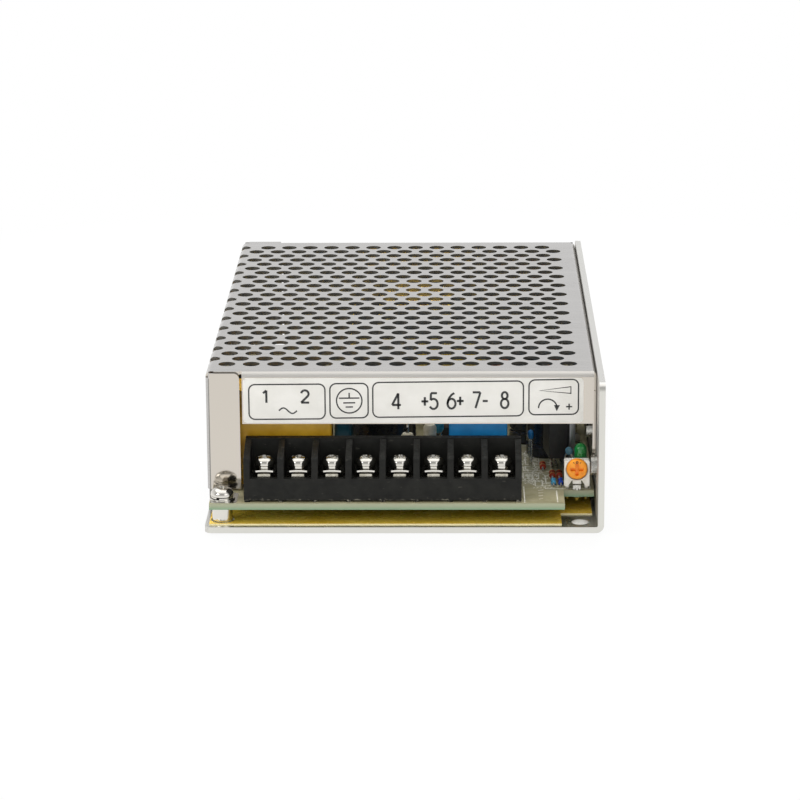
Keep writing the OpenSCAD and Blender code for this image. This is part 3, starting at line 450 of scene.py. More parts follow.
# Cover screws and clinch nuts: flush cross-head screws hold the cover at both sides.
# The nuts are pressed into the sheet of the right wall and of the cover's tabs.
# Zinc plating: greyer and softer than the nickel of the turned screws.
zinc_plating = finish("zinc_plated_steel", "#A9A8A2", "#C6C5BF", 0.9, detail=4, Metallic=1.0)
vary(zinc_plating, "Roughness", grain(zinc_plating, 0.5, detail=4), 0.16, 0.32)
relief(zinc_plating, grain(zinc_plating, 0.4), 0.006)
dress(zinc_plating, "clinch_nuts", "cover_screws")


# Circuit board: glass-filled laminate 1.6 mm thick, on the four pillars, pale at its cut edges and green
# underneath. White ink marks the parts' places, solder covers the pad round the front screw, and each lead
# ends below the board in a soldered joint.
def level(material, axis="Z"):
    """The place of a point along an axis, in millimetres."""
    tree = material.node_tree
    place = add(tree, "ShaderNodeTexCoord").outputs["Object"]
    metres = add(tree, "ShaderNodeSeparateXYZ", {0: place}).outputs[axis]
    return add(tree, "ShaderNodeMath", {0: metres, 1: 1 / mm}, operation="MULTIPLY")


# Coated laminate: a dull olive gloss over the weave, which shows as a faint fine ripple.
laminate = finish("coated_glass_laminate", "#8F8969", "#A59F7F", 5, detail=5,
                  Coat_Weight=0.06, Coat_Roughness=0.3)
vary(laminate, "Roughness", grain(laminate, 1.5, detail=4), 0.34, 0.5)
vary(laminate, "Base Color", facing(laminate, "Z"), "below", "#979A80", (0.9, 0.4))
# The cut edges are greener towards the underside
tree = laminate.node_tree
edge = {0: facing(laminate, "Z"), 1: 0, 2: 0.5}
edge = add(tree, "ShaderNodeMath", edge, operation="COMPARE")
depth = {0: board_top, 1: level(laminate)}
depth = add(tree, "ShaderNodeMath", depth, operation="SUBTRACT")
depth = add(tree, "ShaderNodeMath", {0: edge, 1: depth}, operation="MULTIPLY")
vary(laminate, "Base Color", depth, "below", "#6F9172", (0.5, 1.7))
vary(laminate, "Base Color", facing(laminate, "Z"), "below", "#2F6B47", (-0.4, -0.9))
relief(laminate, grain(laminate, 0.4), 0.008)
dress(laminate, "board")
# Screen-printed ink: matt white, a little broken where it is thin.
white_ink = finish("screen_printed_white_ink", "#CFCCBC", "#F0EEE4", 0.5, detail=3, Roughness=0.6)
# Hot-levelled solder: a bright, slightly wavy skin of tin.
solder = finish("hot_levelled_solder", "#CFCFCB", Metallic=1.0)
vary(solder, "Roughness", grain(solder, 1.2, detail=4), 0.06, 0.2)
relief(solder, grain(solder, 2.2, detail=1), 0.03)

# Sweeps a square line along curves; the caller flattens it to a ribbon of ink
printed_stroke, given = new_tree("printed_stroke", Width="Float")
section = add(printed_stroke, "GeometryNodeCurvePrimitiveQuadrilateral",
              {"Width": given["Width"], "Height": given["Width"]})
swept = {"Curve": given["Geometry"], "Profile Curve": section, "Fill Caps": True}
swept = add(printed_stroke, "GeometryNodeCurveToMesh", swept)
ended(printed_stroke, swept, given)


def ink(paths, width, thick, material):
    """Flat ribbons of ink along paths in the plane of X and Y."""
    mesh = along(paths, printed_stroke, width, material)
    mesh.transform(Matrix.Diagonal((1, 1, thick / width, 1)))
    return mesh


def arc(x, y, r, start, end, steps=24):
    """Points along an arc, angles in degrees."""
    angles = [radians(start + (end - start) * i / steps) for i in range(steps + 1)]
    return [(x + r * cos(a), y + r * sin(a)) for a in angles]


def frame_path(x0, x1, y0, y1, r, rise=0.0):
    """A closed frame with round corners, its right side higher by rise."""
    points = arc(x1 - r, y1 - r, r, 0, 90, 6) + arc(x0 + r, y1 - r, r, 90, 180, 6)
    points += arc(x0 + r, y0 + r, r, 180, 270, 6) + arc(x1 - r, y0 + r, r, 270, 360, 6)
    points = [(x, y + rise * (x - x0) / (x1 - x0)) for x, y in points]
    return points + points[:1]


def pressed(outline, thick, material):
    """A plate with an outline of (x, y) points, standing on the origin's plane."""
    shape = bmesh.new()
    low = [shape.verts.new((x, y, 0)) for x, y in outline]
    high = [shape.verts.new((x, y, thick)) for x, y in outline]
    shape.faces.new(low)
    shape.faces.new(high)
    for i in range(len(outline)):
        shape.faces.new((low[i - 1], low[i], high[i], high[i - 1]))
    return shaped(shape, material)


# Outlines of the parts and of round pads, and rows of short ticks
places = [frame_path(x0, x1, front + y0, front + y1, 0.3) for x0, x1, y0, y1 in (
    (29.4, 33.2, 22.2, 27.4), (29.6, 34.6, 29.2, 32.6), (30.2, 33.6, 34.4, 41.2), (28.8, 31.8, 43.5, 51),
    (34.9, 36.5, 18.6, 24.4), (32.2, 34, 15.8, 20.6), (-46.6, -15.8, 17.1, 29.6), (10.4, 25.8, 17.1, 36.1),
    (-43.6, -20.4, 45.5, 64.5), (-16, 20.6, 76.5, 119.5), (34.6, 45.6, 13.6, 16.2))]
places += [arc(x, front + y, r, 0, 360, 32) for x, y, r in (
    (35.6, 44.5, 5.4), (31.5, 57, 5.4), (31.5, 75.5, 5.4), (-6.6, 47, 9.5), (32.6, 36.6, 1.1),
    (31, 24.6, 0.8))]
places += [[(29.3, front + 2.2), (29.3, front + 15.6)], [(37.3, front + 2.4), (37.3, front + 12)]]
for k in range(6):
    places.append([(31.6 + 0.85 * k, front + 14.2), (32.1 + 0.85 * k, front + 14.6 + 0.3 * (k % 2))])
for k in range(5):
    places.append([(30.2 + 0.9 * k, front + 20.6 + 0.5 * (k % 3)), (30.7 + 0.9 * k, front + 19.4)])
for k in range(4):
    places.append([(30.1 + 0.7 * k, front + 24 + 0.6 * (k % 2)), (30.4 + 0.7 * k, front + 25.8)])
places += [[(32.8, front + y), (34.2 - 0.2 * (y % 3), front + y + 0.5)] for y in (5, 7.6, 10, 12.2)]
# Short strokes, set at random with a fixed seed, stand for the small print between the parts
scatter = Random(7)
for _ in range(90):
    x, y = scatter.uniform(29.2, 36.4), front + scatter.uniform(15.5, 46)
    a = radians(scatter.choice((0, 90, 45, 135)))
    reach = scatter.uniform(0.3, 0.9)
    dx, dy = reach * cos(a), 1.6 * reach * sin(a)
    middle = (x, y + scatter.uniform(-0.4, 0.4))
    places.append([(x - dx, y - dy), middle, (x + dx, y + dy)])
stroke, ink_thick = 0.28, 0.02
board_print = ink(places, stroke, ink_thick, white_ink)
put("board_print", [at(board_print, (0, 0, board_top + ink_thick / 2))], "circuit_board")

pad_thick = 0.03
pad = pressed(frame_path(-47.2, -40.7, front + 1.75, front + 10.4, 1.0)[:-1], pad_thick, solder)
joint = turned([(0, 0), (1.1, 0), (0.85, -0.18), (0.5, -0.5), (0.32, -0.95), (0, -1.05)], solder, sides=16)
pole_pitch = 8.25
poles_x = [-34.075 + pole_pitch * i for i in range(8)]
joints = [(x + s, front + 11.6) for x in poles_x for s in (-0.9, 0.9)]
joints += [(x, front + y) for x, y in (
    (42.3, 12.7), (40, 13.9), (44.6, 13.9), (42.0, 17.1), (44.6, 17.1), (-41, 23), (-21.5, 23), (13, 20),
    (13, 33), (23, 20), (23, 33), (18, 27), (36.8, 28.5), (36.8, 31), (36.8, 33.5), (-10, 47), (-3, 47),
    (33, 44.5), (38, 44.5), (29, 57), (34, 57), (29, 75.5), (34, 75.5), (-38, 50), (-26, 50), (-38, 60),
    (-26, 60), (24, 96), (39, 96), (-28.5, 69.5), (-28.5, 74.5), (-28.5, 81.5), (-28.5, 86.5), (-14.5, 60),
    (-14.5, 66))]
joints += [(x, front + y) for x in (-11, -6, -1, 4, 9, 14) for y in (80, 116)]
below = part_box("board")[0][2] / mm
spread = [((x, y, below), (0, 0, 37 * i)) for i, (x, y) in enumerate(joints)]
put("board_solder", [at(pad, (0, 0, board_top)), repeated(joint, spread)], "tinned_wire")


# Terminal block: black glass-filled moulding with a wall between each pair of poles.
# Its feet stand on the board. Handling leaves fine scuffs, and pale dust along the lower edge of its front.
# Moulded polyamide: a dull black skin with a faint speckle of the glass.
black_moulding = finish("moulded_black_polyamide", "#131311", "#1C1C19", 3, detail=6, Specular_IOR_Level=0.2)
vary(black_moulding, "Roughness", grain(black_moulding, 1.2, detail=4), 0.42, 0.62)
scuffs = grain(black_moulding, 0.7, (3, 1, 1), 5)
vary(black_moulding, "Base Color", scuffs, "below", "#413F39", (0.66, 0.78))
tree = black_moulding.node_tree
low_edge = {"Value": level(black_moulding), "From Min": 10.5, "From Max": 7.6}
low_edge = add(tree, "ShaderNodeMapRange", low_edge)
specks = grain(black_moulding, 0.5, (2, 1, 1), 4)
dust = add(tree, "ShaderNodeMath", {0: specks, 1: low_edge}, operation="MULTIPLY")
vary(black_moulding, "Base Color", dust, "below", "#7B776A", (0.52, 0.66))
relief(black_moulding, grain(black_moulding, 0.3), 0.01)
dress(black_moulding, "terminal_block")


# Terminal plates, clamp washers and screws: tinned brass and bright plated steel.
# A screw turns in its spring washer and square clamp washer, which rise and fall with it above the plate.
# Tinned brass strip: a soft grey mirror with a yellow cast.
tinned_brass = finish("tinned_brass_strip", "#C4BFAF", "#D8D4C7", 1.2, detail=4, Metallic=1.0)
vary(tinned_brass, "Roughness", grain(tinned_brass, 0.8, detail=4), 0.14, 0.34)
dress(tinned_brass, "terminal_plates")


def clamp_plate(half, bore, thick, dip, material):
    """A square washer whose left and right sides dip towards the plate below."""
    shape = bmesh.new()
    rings = []
    sides, steps, corner = 48, 4, half * 1.28
    under = [(step, 0) for step in range(steps + 1)]
    for step, lift in under + [(step, thick) for step, _ in reversed(under)]:
        ring = []
        for k in range(sides):
            a = 2 * pi * k / sides
            reach = min(half / max(abs(cos(a)), abs(sin(a))), corner)
            r = bore + (reach - bore) * step / steps
            x, y = r * cos(a), r * sin(a)
            ring.append(shape.verts.new((x, y, dip * (1 - (x / half) ** 2) + lift)))
        rings.append(ring)
    looped(shape, rings, True)
    return shaped(shape, material)


pole_y = front + 8
clamp_low, clamp_high = (corner[2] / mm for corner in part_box("terminal_washer_1"))
clamp_bore, split_lift, head_gap = 1.58, 0.7, 0.03
split_thick = clamp_high - clamp_low - split_lift
square_washer = clamp_plate(half=2.95, bore=clamp_bore, thick=0.42, dip=0.26, material=bright_nickel)
split_washer = spring_washer(inner=clamp_bore, outer=2.3, thick=split_thick, material=bright_nickel)
clamp_screw = cross_screw(head_d=5.2, head_h=2.05, cross=3.5, thread_d=3.0, length=6.0,
                          material=bright_nickel)
# The screws were left at any angle when they were last turned
for pole, (x, angle) in enumerate(zip(poles_x, (8, -14, 22, 31, -24, 5, 40, -9)), 1):
    rest = ((x, pole_y, clamp_low), (0, 0, 0))
    ring = ((x, pole_y, clamp_low + split_lift), (0, 0, 60 * pole + 180))
    put(f"clamp_washers_{pole}", [repeated(square_washer, [rest]), repeated(split_washer, [ring])],
        "plated_fastener", f"terminal_washer_{pole}", body=f"clamp_{pole}")
    seated = ((x, pole_y, clamp_high + head_gap), (0, 0, angle))
    put(f"clamp_screw_{pole}", [repeated(mesh, [seated]) for mesh in clamp_screw],
        "plated_fastener", f"terminal_screw_{pole}", body=f"screw_{pole}")
# Each plate has a small tongue turned up at its front edge, leaning back a little, clear of the washer
tongue = [(-1.5, 0), (1.5, 0), (1.5, 0.8), (1.4, 0.9), (-1.4, 0.9), (-1.5, 0.8)]
strip_thick, tongue_out, lean = 0.5, 3.35, 85
tongue = pressed(tongue, strip_thick, tinned_brass)
plate_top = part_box("terminal_plates")[1][2] / mm
spots = [((x, pole_y - tongue_out, plate_top), (lean, 0, 0)) for x in poles_x]
put("terminal_tongues", [repeated(tongue, spots)], "tinned_brass")


# Adjuster: an open trimmer with a white moulded frame, an orange rotor and three tinned contacts.
# The rotor snaps into the frame's round seat and has a cross for the screwdriver and three plain marks.
# Moulded polyester: off-white, with a soft even gloss.
white_moulding = finish("moulded_white_polyester", "#E0DBCF", "#EFECE4", 1.5, detail=4, Roughness=0.42)
relief(white_moulding, grain(white_moulding, 0.4), 0.006)
# The same plastic in a warm orange.
orange_moulding = finish("moulded_orange_polyester", "#FC9412", "#FFA628", 1.2, detail=4, Roughness=0.38)
relief(orange_moulding, grain(orange_moulding, 0.35), 0.006)
# Hot-stamped marks: thin matt brown lines pressed on the rotor.
dark_mark = finish("hot_stamped_brown_mark", "#5C2C0C", "#7A4016", 0.3, detail=3, Roughness=0.5)
# Tinned copper: a dull silver, unevenly bright.
tinned_wire = finish("tinned_copper_wire", "#BDBAB0", "#D4D2CA", 0.7, detail=3, Metallic=1.0)
vary(tinned_wire, "Roughness", grain(tinned_wire, 0.4, detail=3), 0.16, 0.36)

trim_x, trim_y = 42.3, front + 12.6
trim_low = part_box("trimmer_frame")[0][2] / mm
rotor_low, rotor_high = (Vector(corner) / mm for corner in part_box("trimmer_rotor"))
rotor_z = (rotor_low.z + rotor_high.z) / 2 - trim_low
outline = [(-3.1, 0.25), (-2.9, 0), (-2.15, 0), (-1.35, 1.25), (-1.25, 1.45), (-1.05, 1.45), (-1.05, 0.55)]
outline += [(-x, z) for x, z in reversed(outline)]
outline += [(3.1, 6.25), (2.85, 6.5), (-2.85, 6.5), (-3.1, 6.25)]
upright, facing_front = (90, 0, 0), (-90, 0, 0)
frame_depth = 2.4
plate = at(pressed(outline, frame_depth, white_moulding), (0, frame_depth, 0), upright)
seat_hole = [(0, -1), (2.8, -1), (2.8, 0.8), (1.3, 0.8), (1.3, 3), (0, 3)]
seat_hole = at(turned(seat_hole, white_moulding), (0, 0, rotor_z), facing_front)
trimmer = at(cut(plate, seat_hole), (trim_x, trim_y, trim_low))
put("trimmer_frame_moulded", [trimmer], "white_moulding", "trimmer_frame")
knob = [(0, -0.5), (1.7, -0.5), (2.3, -0.42), (2.52, -0.2), (2.6, 0.1), (2.6, 0.7), (1.2, 0.7), (1.2, 2.4)]
knob = turned(knob + [(0, 2.4)], orange_moulding)
slots = [at(wedge((1.6, 0.42), (1.5, 0.36), -0.6, 0.6, orange_moulding), (0, 0, 0), (0, 0, a))
         for a in (0, 90)]
knob = at(cut(knob, *slots), (trim_x, trim_y, trim_low + rotor_z), facing_front)
marks = [arc(0, 1.9, 0.24, 0, 360, 14), [(-0.95, 1.95), (-0.7, 1.62)], [(0.95, 1.95), (0.7, 1.62)]]
mark_wide, mark_thick, knob_face = 0.17, 0.03, 0.52
marks = ink(marks, mark_wide, mark_thick, dark_mark)
marks = at(marks, (trim_x, trim_y - knob_face, trim_low + rotor_z), upright)
put("trimmer_rotor_moulded", [knob, marks], "orange_moulding", "trimmer_rotor", body="adjuster")
fork = [(-0.95, 1.3), (0.95, 1.3), (0.95, 0.35), (0.6, 0.1), (0.45, 0.55), (0.3, 0.5), (0.25, 0)]
fork += [(-x, z) for x, z in reversed(fork[2:])]
fork_thick, pin_thick = 0.3, 0.4
fork = at(pressed(fork, fork_thick, tinned_wire), (trim_x, trim_y, board_top), upright)
end_pin = [(-0.4, 0), (0.4, 0), (0.4, 1), (-0.4, 1)]
ends = [at(pressed(end_pin, pin_thick, tinned_wire), (trim_x + x, trim_y + 1.4, board_top), upright)
        for x in (-2.3, 2.3)]
put("trimmer_contacts", [fork, *ends], "tinned_wire", "trimmer_pins")


# Lamp: a green light-emitting diode on two tinned leads, beside the adjuster.
# Cast epoxy: a tinted, glassy dome with a collar, darker towards its foot.
green_epoxy = finish("cast_green_epoxy", "#2E9E4C", IOR=1.54, Transmission_Weight=0.45, Coat_Weight=0.5)
vary(green_epoxy, "Base Color", level(green_epoxy), "#1C8038", "#2AA24C", (13, 18))
vary(green_epoxy, "Roughness", grain(green_epoxy, 0.7, detail=3), 0.02, 0.06)
lens_low, lens_high = (Vector(corner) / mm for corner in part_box("lamp_lens"))
tall = lens_high.z - lens_low.z
lens_r = 1.55
dome = [(lens_r * cos(radians(a)), tall - lens_r + lens_r * sin(radians(a))) for a in range(0, 90, 9)]
lens = [(0, 0), (1.8, 0), (1.9, 0.1), (1.9, 0.8), (1.8, 0.9), (1.58, 0.95), *dome, (0, tall)]
cup = [(0, 1.5), (0.35, 1.5), (0.8, 2.1), (1.0, 2.1), (0.75, 1.0), (0, 1.0)]
cast = [turned(lens, green_epoxy), turned(cup, tinned_wire, sides=20)]
cast = [at(mesh, (43.3, front + 17.1, lens_low.z)) for mesh in cast]
put("lamp_lens_cast", cast, "green_lens", "lamp_lens")
dress(tinned_wire, "lamp_leads")


# Line filter capacitor: a yellow moulded box filled with resin, at the left behind the terminals.
# Moulded polyester: a warm yellow with a soft gloss and faint flow marks.
yellow_box = finish("moulded_yellow_polyester", "#CC9A1A", "#E0B02E", 4, detail=5, Roughness=0.36)
relief(yellow_box, grain(yellow_box, 0.5), 0.008)
dress(yellow_box, "x_capacitor")


# Varistor, suppression capacitors and thermistor: ceramic discs dipped in resin, standing on tinned leads.
# The resin runs a little down the leads, so its skin is smooth but not flat.
def bare_leads(material, factor, span):
    """Shows tinned leads where a pattern is past its span."""
    vary(material, "Base Color", factor, "below", "#C6C3BA", span)
    vary(material, "Metallic", factor, "below", 1.0, span)
    vary(material, "Roughness", factor, "below", 0.26, span)


def dipped(name, low, high, foot, node):
    """Dipped resin of two shades over tinned leads that show below the height of its foot."""
    material = finish(name, low, high, 2.5, detail=4, Roughness=0.28, Specular_IOR_Level=0.3)
    bare_leads(material, level(material), (foot + 0.1, foot - 0.1))
    relief(material, grain(material, 1.3, detail=3), 0.03)
    dress(material, node)


dipped("dipped_teal_resin", "#092C36", "#103C48", board_top + 1.7, "varistor")
dipped("dipped_blue_resin", "#174F6C", "#226789", board_top + 2.2, "y_capacitors")
dipped("dipped_green_resin", "#232C22", "#313C2E", board_top + 2.2, "thermistor")


# Fuse: a glazed ceramic tube with a plated cap and a lead at each end.
# It lies on its leads behind the line filter capacitor.
def away_from(material, axis, middle):
    """How far a point lies from a place along an axis, in millimetres."""
    tree = material.node_tree
    gap = {0: level(material, axis), 1: middle}
    gap = add(tree, "ShaderNodeMath", gap, operation="SUBTRACT")
    return add(tree, "ShaderNodeMath", {0: gap}, operation="ABSOLUTE")


# Glaze: a pale glassy skin; the caps and leads are plated.
glazed_tube = finish("glazed_ceramic_tube", "#CFD2CB", "#E2E4DE", 3, detail=4, Roughness=0.18)
fuse_middle, glaze_end = -30.5, (4.95, 5.05)
bare_leads(glazed_tube, away_from(glazed_tube, "X", fuse_middle), glaze_end)
dress(glazed_tube, "fuse")


# Line choke: a closed ferrite frame with two wound bobbins on its upright legs.
# Sintered ferrite: a dark grey stone with a fine grit.
ferrite = finish("sintered_ferrite", "#242426", "#38383A", 0.8, detail=5, Roughness=0.55)
relief(ferrite, grain(ferrite, 0.3), 0.012)
dress(ferrite, "line_choke_core")
# Enamelled wire in close turns: bands of one wire's width round the upright legs, raised as ridges, with
# painted shade in the creases between the turns and a painted highlight on their crowns.
wound_wire = finish("wound_enamelled_wire", "#6E3A1C", Metallic=0.5, Roughness=0.3)
wire_width = 0.9
tree = wound_wire.node_tree
phase = {0: level(wound_wire), 1: 2 * pi / wire_width}
phase = add(tree, "ShaderNodeMath", phase, operation="MULTIPLY")
turns = add(tree, "ShaderNodeMath", {0: phase}, operation="SINE")
# Painted shade between the turns and a painted highlight on their crowns
vary(wound_wire, "Base Color", turns, "#4A2613", "#86502A", (-0.8, 0.8))
relief(wound_wire, turns, 0.12)
dress(wound_wire, "line_choke_coils")


# Bridge rectifier, power devices and circuits: black moulded epoxy packages on tinned leads.
# The two power devices are screwed to the right wall over grey insulating pads.
def packaged(name, node):
    """Moulded black epoxy with a matt, faintly pitted skin."""
    material = finish(name, "#171717", "#262626", 1.5, detail=5, Roughness=0.5)
    relief(material, grain(material, 0.3), 0.008)
    dress(material, node)
    return material


# The leads show below the foot of a standing package, and beyond the two sides of a flat one
bridge_foot, switch_foot, flat_side = (board_top + 4.1, board_top + 3.9), (13.65, 13.55), (3.2, 3.3)
bridge = packaged("moulded_black_epoxy", "bridge_rectifier")
bare_leads(bridge, level(bridge), bridge_foot)
switch_package = packaged("moulded_black_epoxy_wall", "power_devices")
bare_leads(switch_package, level(switch_package), switch_foot)
for node in ("control_circuit", "optocoupler"):
    box_low, box_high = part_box(node)
    middle = (box_low[1] + box_high[1]) / 2 / mm
    flat_package = packaged(f"moulded_black_epoxy_{node}", node)
    bare_leads(flat_package, away_from(flat_package, "Y", middle), flat_side)
# Filled silicone: a dull grey rubber.
grey_pad = finish("filled_silicone_pad", "#666C74", "#787E86", 0.8, detail=4, Roughness=0.7)
dress(grey_pad, "insulating_pads")


# Smoothing capacitors: aluminium cans in shrunk sleeves, with the bare can showing at the top.
# Shrunk sleeve: dark and glossy, pulled smooth over the can.
dark_sleeve = finish("shrunk_dark_sleeve", "#16181D", "#22242B", 3, detail=4, Roughness=0.24)
vary(dark_sleeve, "Base Color", facing(dark_sleeve, "Z"), "below", "#A9ABAD", (0.96, 0.99))
vary(dark_sleeve, "Metallic", facing(dark_sleeve, "Z"), "below", 1.0, (0.96, 0.99))
dress(dark_sleeve, "bulk_capacitor", "output_capacitors")


# Transformer: two ferrite halves on a moulded bobbin, with the windings under yellow tape.
# The tape is drawn flat over the windings, so that they stand nearly square under the cover.
# Moulded phenolic: a dark brown, dull skin.
dark_bobbin = finish("moulded_dark_phenolic", "#201D1A", "#2E2A26", 2, detail=4, Roughness=0.5)
dress(dark_bobbin, "transformer_bobbin")
dress(ferrite, "transformer_core")
# Polyester tape: clear yellow with a soft gloss, its turns showing as faint ridges.
yellow_tape = finish("wound_yellow_polyester_tape", "#F4CA40", "#FFDC62", 3, (6, 1, 6), 4, Roughness=0.3)
relief(yellow_tape, grain(yellow_tape, 1.0, (8, 1, 8)), 0.04)
dress(yellow_tape, "transformer_tape")
wound_low, wound_high = (Vector(corner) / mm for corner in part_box("transformer_winding"))
wound_mid = (wound_low + wound_high) / 2
half_x, reach = (wound_high.x - wound_low.x) / 2, wound_high.z - wound_mid.z
tape_rise, bobbin_r = 1.5, 6.8
wrapped = frame_path(-half_x, half_x, -reach, reach + tape_rise, 4.5)[:-1]
wrapped = pressed(wrapped, wound_high.y - wound_low.y, yellow_tape)
bore = turned([(0, -1), (bobbin_r, -1), (bobbin_r, 30), (0, 30)], yellow_tape)
taped = at(cut(wrapped, bore), (wound_mid.x, wound_high.y, wound_mid.z), upright)
put("transformer_winding_taped", [taped], "yellow_tape", "transformer_winding")


# Output inductor: a coated iron-powder ring wound with enamelled copper wire.
# The turns hug the ring and lie close together inside it.
# Coated ring: a yellow-green paint over the pressed powder.
coated_ring = finish("coated_iron_powder_ring", "#C2B259", "#D6C872", 1.5, detail=4, Roughness=0.4)
dress(coated_ring, "output_inductor_core")
# Enamelled copper: a clear varnish over warm, bright wire.
enamelled_wire = finish("enamelled_copper_wire", "#98552A", "#B66D38", 2, detail=3,
                        Metallic=0.7, Roughness=0.26, Coat_Weight=0.5)
coil_low, coil_high = (Vector(corner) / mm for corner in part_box("output_inductor_coil"))
coil_mid, coil_r = (coil_low + coil_high) / 2, (coil_high.x - coil_low.x) / 2
tall = coil_high.z - coil_low.z
wire, turns_round, hole_r = 1.0, 22, 3.75
turn_path = frame_path(hole_r + wire / 2, coil_r - wire / 2, wire / 2, tall - wire / 2, 1.2)
angles = [2 * pi * k / turns_round for k in range(turns_round)]
coil = along([[(x * cos(a), x * sin(a), z) for x, z in turn_path] for a in angles],
             drawn_wire, wire, enamelled_wire)
coil = at(coil, (coil_mid.x, coil_mid.y, coil_low.z))
put("output_inductor_wound", [coil], "enamelled_wire", "output_inductor_coil")


# Relay: a blue moulded case, at the middle behind the terminals, sealed to its base.
# Moulded polyester: a clear mid blue with a satin skin.
blue_case = finish("moulded_blue_polyester", "#0A7BBC", "#128ACE", 3, detail=4, Roughness=0.45)
relief(blue_case, grain(blue_case, 0.4), 0.008)
dress(blue_case, "relay")


# Regulator and heat sink: a black package on three splayed leads, screwed to a bent grey plate.
# Both were set on the board a little turned, so that the package shows its broad side from the front.
def moulded(low, high, edge, material):
    """A box from low to high with its edges rounded."""
    shape = bmesh.new()
    bmesh.ops.create_cube(shape, size=1)
    for vert in shape.verts:
        vert.co = [a + (b - a) * (c + 0.5) for a, b, c in zip(low, high, vert.co)]
    bmesh.ops.bevel(shape, geom=shape.edges[:], offset=edge, segments=2, profile=0.5, affect="EDGES")
    return shaped(shape, material)


# Moulded epoxy: a dull black skin, faintly pitted.
black_epoxy = finish("moulded_black_epoxy_package", "#131313", "#1F1F1F", 1.5, detail=5, Roughness=0.5)
relief(black_epoxy, grain(black_epoxy, 0.3), 0.01)
# Sheared aluminium: a grey, finely scratched plate.
sheared_aluminium = finish("sheared_grey_aluminium", "#848688", "#9A9C9E", 0.8, (1, 1, 20), Metallic=1.0)
vary(sheared_aluminium, "Roughness", grain(sheared_aluminium, 0.5, (1, 1, 30)), 0.3, 0.5)
sink_low, sink_high = (Vector(corner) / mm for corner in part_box("heat_sink"))
sink_y = (sink_low.y + sink_high.y) / 2
askew = 8
lift = board_top + 4.0
shoulder = [(-4.6, 0.2), (-0.1, 0), (0, 8.6), (-1.1, 10.4), (-1.4, 14.4), (-4.2, 14.4), (-4.6, 13.4)]
package_wide = 9.6
package = at(pressed(shoulder, package_wide, black_epoxy), (0, package_wide / 2, lift), upright)
splayed = [[(1.3 * i - 2.6, 2.54 * i, lift + 0.4), (1.35 * i - 2.5, 2.54 * i, lift - 1.2),
            (1.6 * i - 1.7, 2.3 * i, board_top)] for i in (-1, 0, 1)]
pin_wide, sink_gap = 0.7, 0.05
pins = along(splayed, drawn_wire, pin_wide, tinned_wire)
regulator = [at(mesh, (sink_low.x, sink_y, 0), (0, 0, askew)) for mesh in (package, pins)]
put("regulator_moulded", regulator, "black_package", "regulator")
sheet, edge = 1.5, 0.15
fin = moulded((0, -7, board_top), (sheet, 7, sink_high.z), edge, sheared_aluminium)
foot = moulded((0.2, 3, board_top), (4, 7, board_top + sheet), edge, sheared_aluminium)
heat_sink = [at(mesh, (sink_low.x + sink_gap, sink_y, 0), (0, 0, askew)) for mesh in (fin, foot)]
put("heat_sink_bent", heat_sink, "grey_aluminium", "heat_sink")


# Small parts at the front: axial resistors with painted bands, upright resistors and little dipped discs.
# Each stands or lies on its own tinned leads, bent by hand and soldered below.
def rounded(points, r):
    """A path with its inner corners bent to a radius."""
    path = [Vector(points[0])]
    for before, corner, after in zip(points, points[1:], points[2:]):
        before, corner, after = Vector(before), Vector(corner), Vector(after)
        a = corner + (before - corner).normalized() * r
        b = corner + (after - corner).normalized() * r
        path += [a.lerp(corner, t / 5).lerp(corner.lerp(b, t / 5), t / 5) for t in range(6)]
    return [tuple(point) for point in path + [Vector(points[-1])]]


def lacquer(name, low, high):
    """Dipped lacquer: a smooth glossy skin of two close shades."""
    return finish(name, low, high, 0.8, detail=4, Roughness=0.26)


def axial_resistors(node, places, length, d, body, bands, slot):
    """Resistors lying along Y: waisted bodies, painted bands and bent leads."""
    r, end = d / 2, length / 2
    neck = r * 0.84
    waist = [(0, -end), (r * 0.6, -end + 0.05), (r, -end + 0.35), (r, -end + 0.9), (neck, -end + 1.2)]
    waist += [(x, -z) for x, z in reversed(waist)]
    rise = board_top + r
    spots = [((x, y, rise), (90, 0, 0)) for x, y in places]
    meshes = [repeated(turned(waist, body, sides=20), spots)]
    half_band, paint_thick = 0.17, 0.02
    for z, paint in bands:
        rim = (r if abs(z) > end - 1 else neck) + paint_thick
        low, high = z - half_band, z + half_band
        band = turned([(0, low), (rim, low), (rim, high), (0, high)], paint, sides=20)
        meshes.append(repeated(band, spots))
    reach = end + 0.6
    lead = rounded([(0, -reach, -r), (0, -reach, 0), (0, reach, 0), (0, reach, -r)], 0.4)
    lead_wide = 0.5
    lead = along([lead], drawn_wire, lead_wide, tinned_wire)
    meshes.append(repeated(lead, [((x, y, rise), (0, 0, 0)) for x, y in places]))
    put(node + "_banded", meshes, slot, node)


tan_band = lacquer("painted_tan_band", "#C79A5B", "#D6AC70")
black_band = lacquer("painted_black_band", "#1A1614", "#26201C")
red_lacquer = lacquer("dipped_red_lacquer", "#8E2E1C", "#A53C28")
sky_lacquer = lacquer("dipped_sky_blue_lacquer", "#3E93BC", "#5FB2D6")
vary(sky_lacquer, "Base Color", level(sky_lacquer, "X"), "below", "#2448B4", (37.5, 37.7))
red_spots = [(x, front + y) for x, y in ((36.6, 23.5), (38.3, 23.5), (34.4, 31))]
red_bands = [(-1.15, tan_band), (-0.35, black_band), (0.2, red_lacquer), (1.15, tan_band)]
axial_resistors("red_resistors", red_spots, length=3.4, d=1.6, body=red_lacquer, bands=red_bands,
                slot="red_coating")
blue_spots = [(x, front + 17.7) for x in (36.7, 38.5)]
axial_resistors("blue_resistors", blue_spots, length=3.2, d=1.3, body=sky_lacquer, bands=[],
                slot="light_blue_coating")
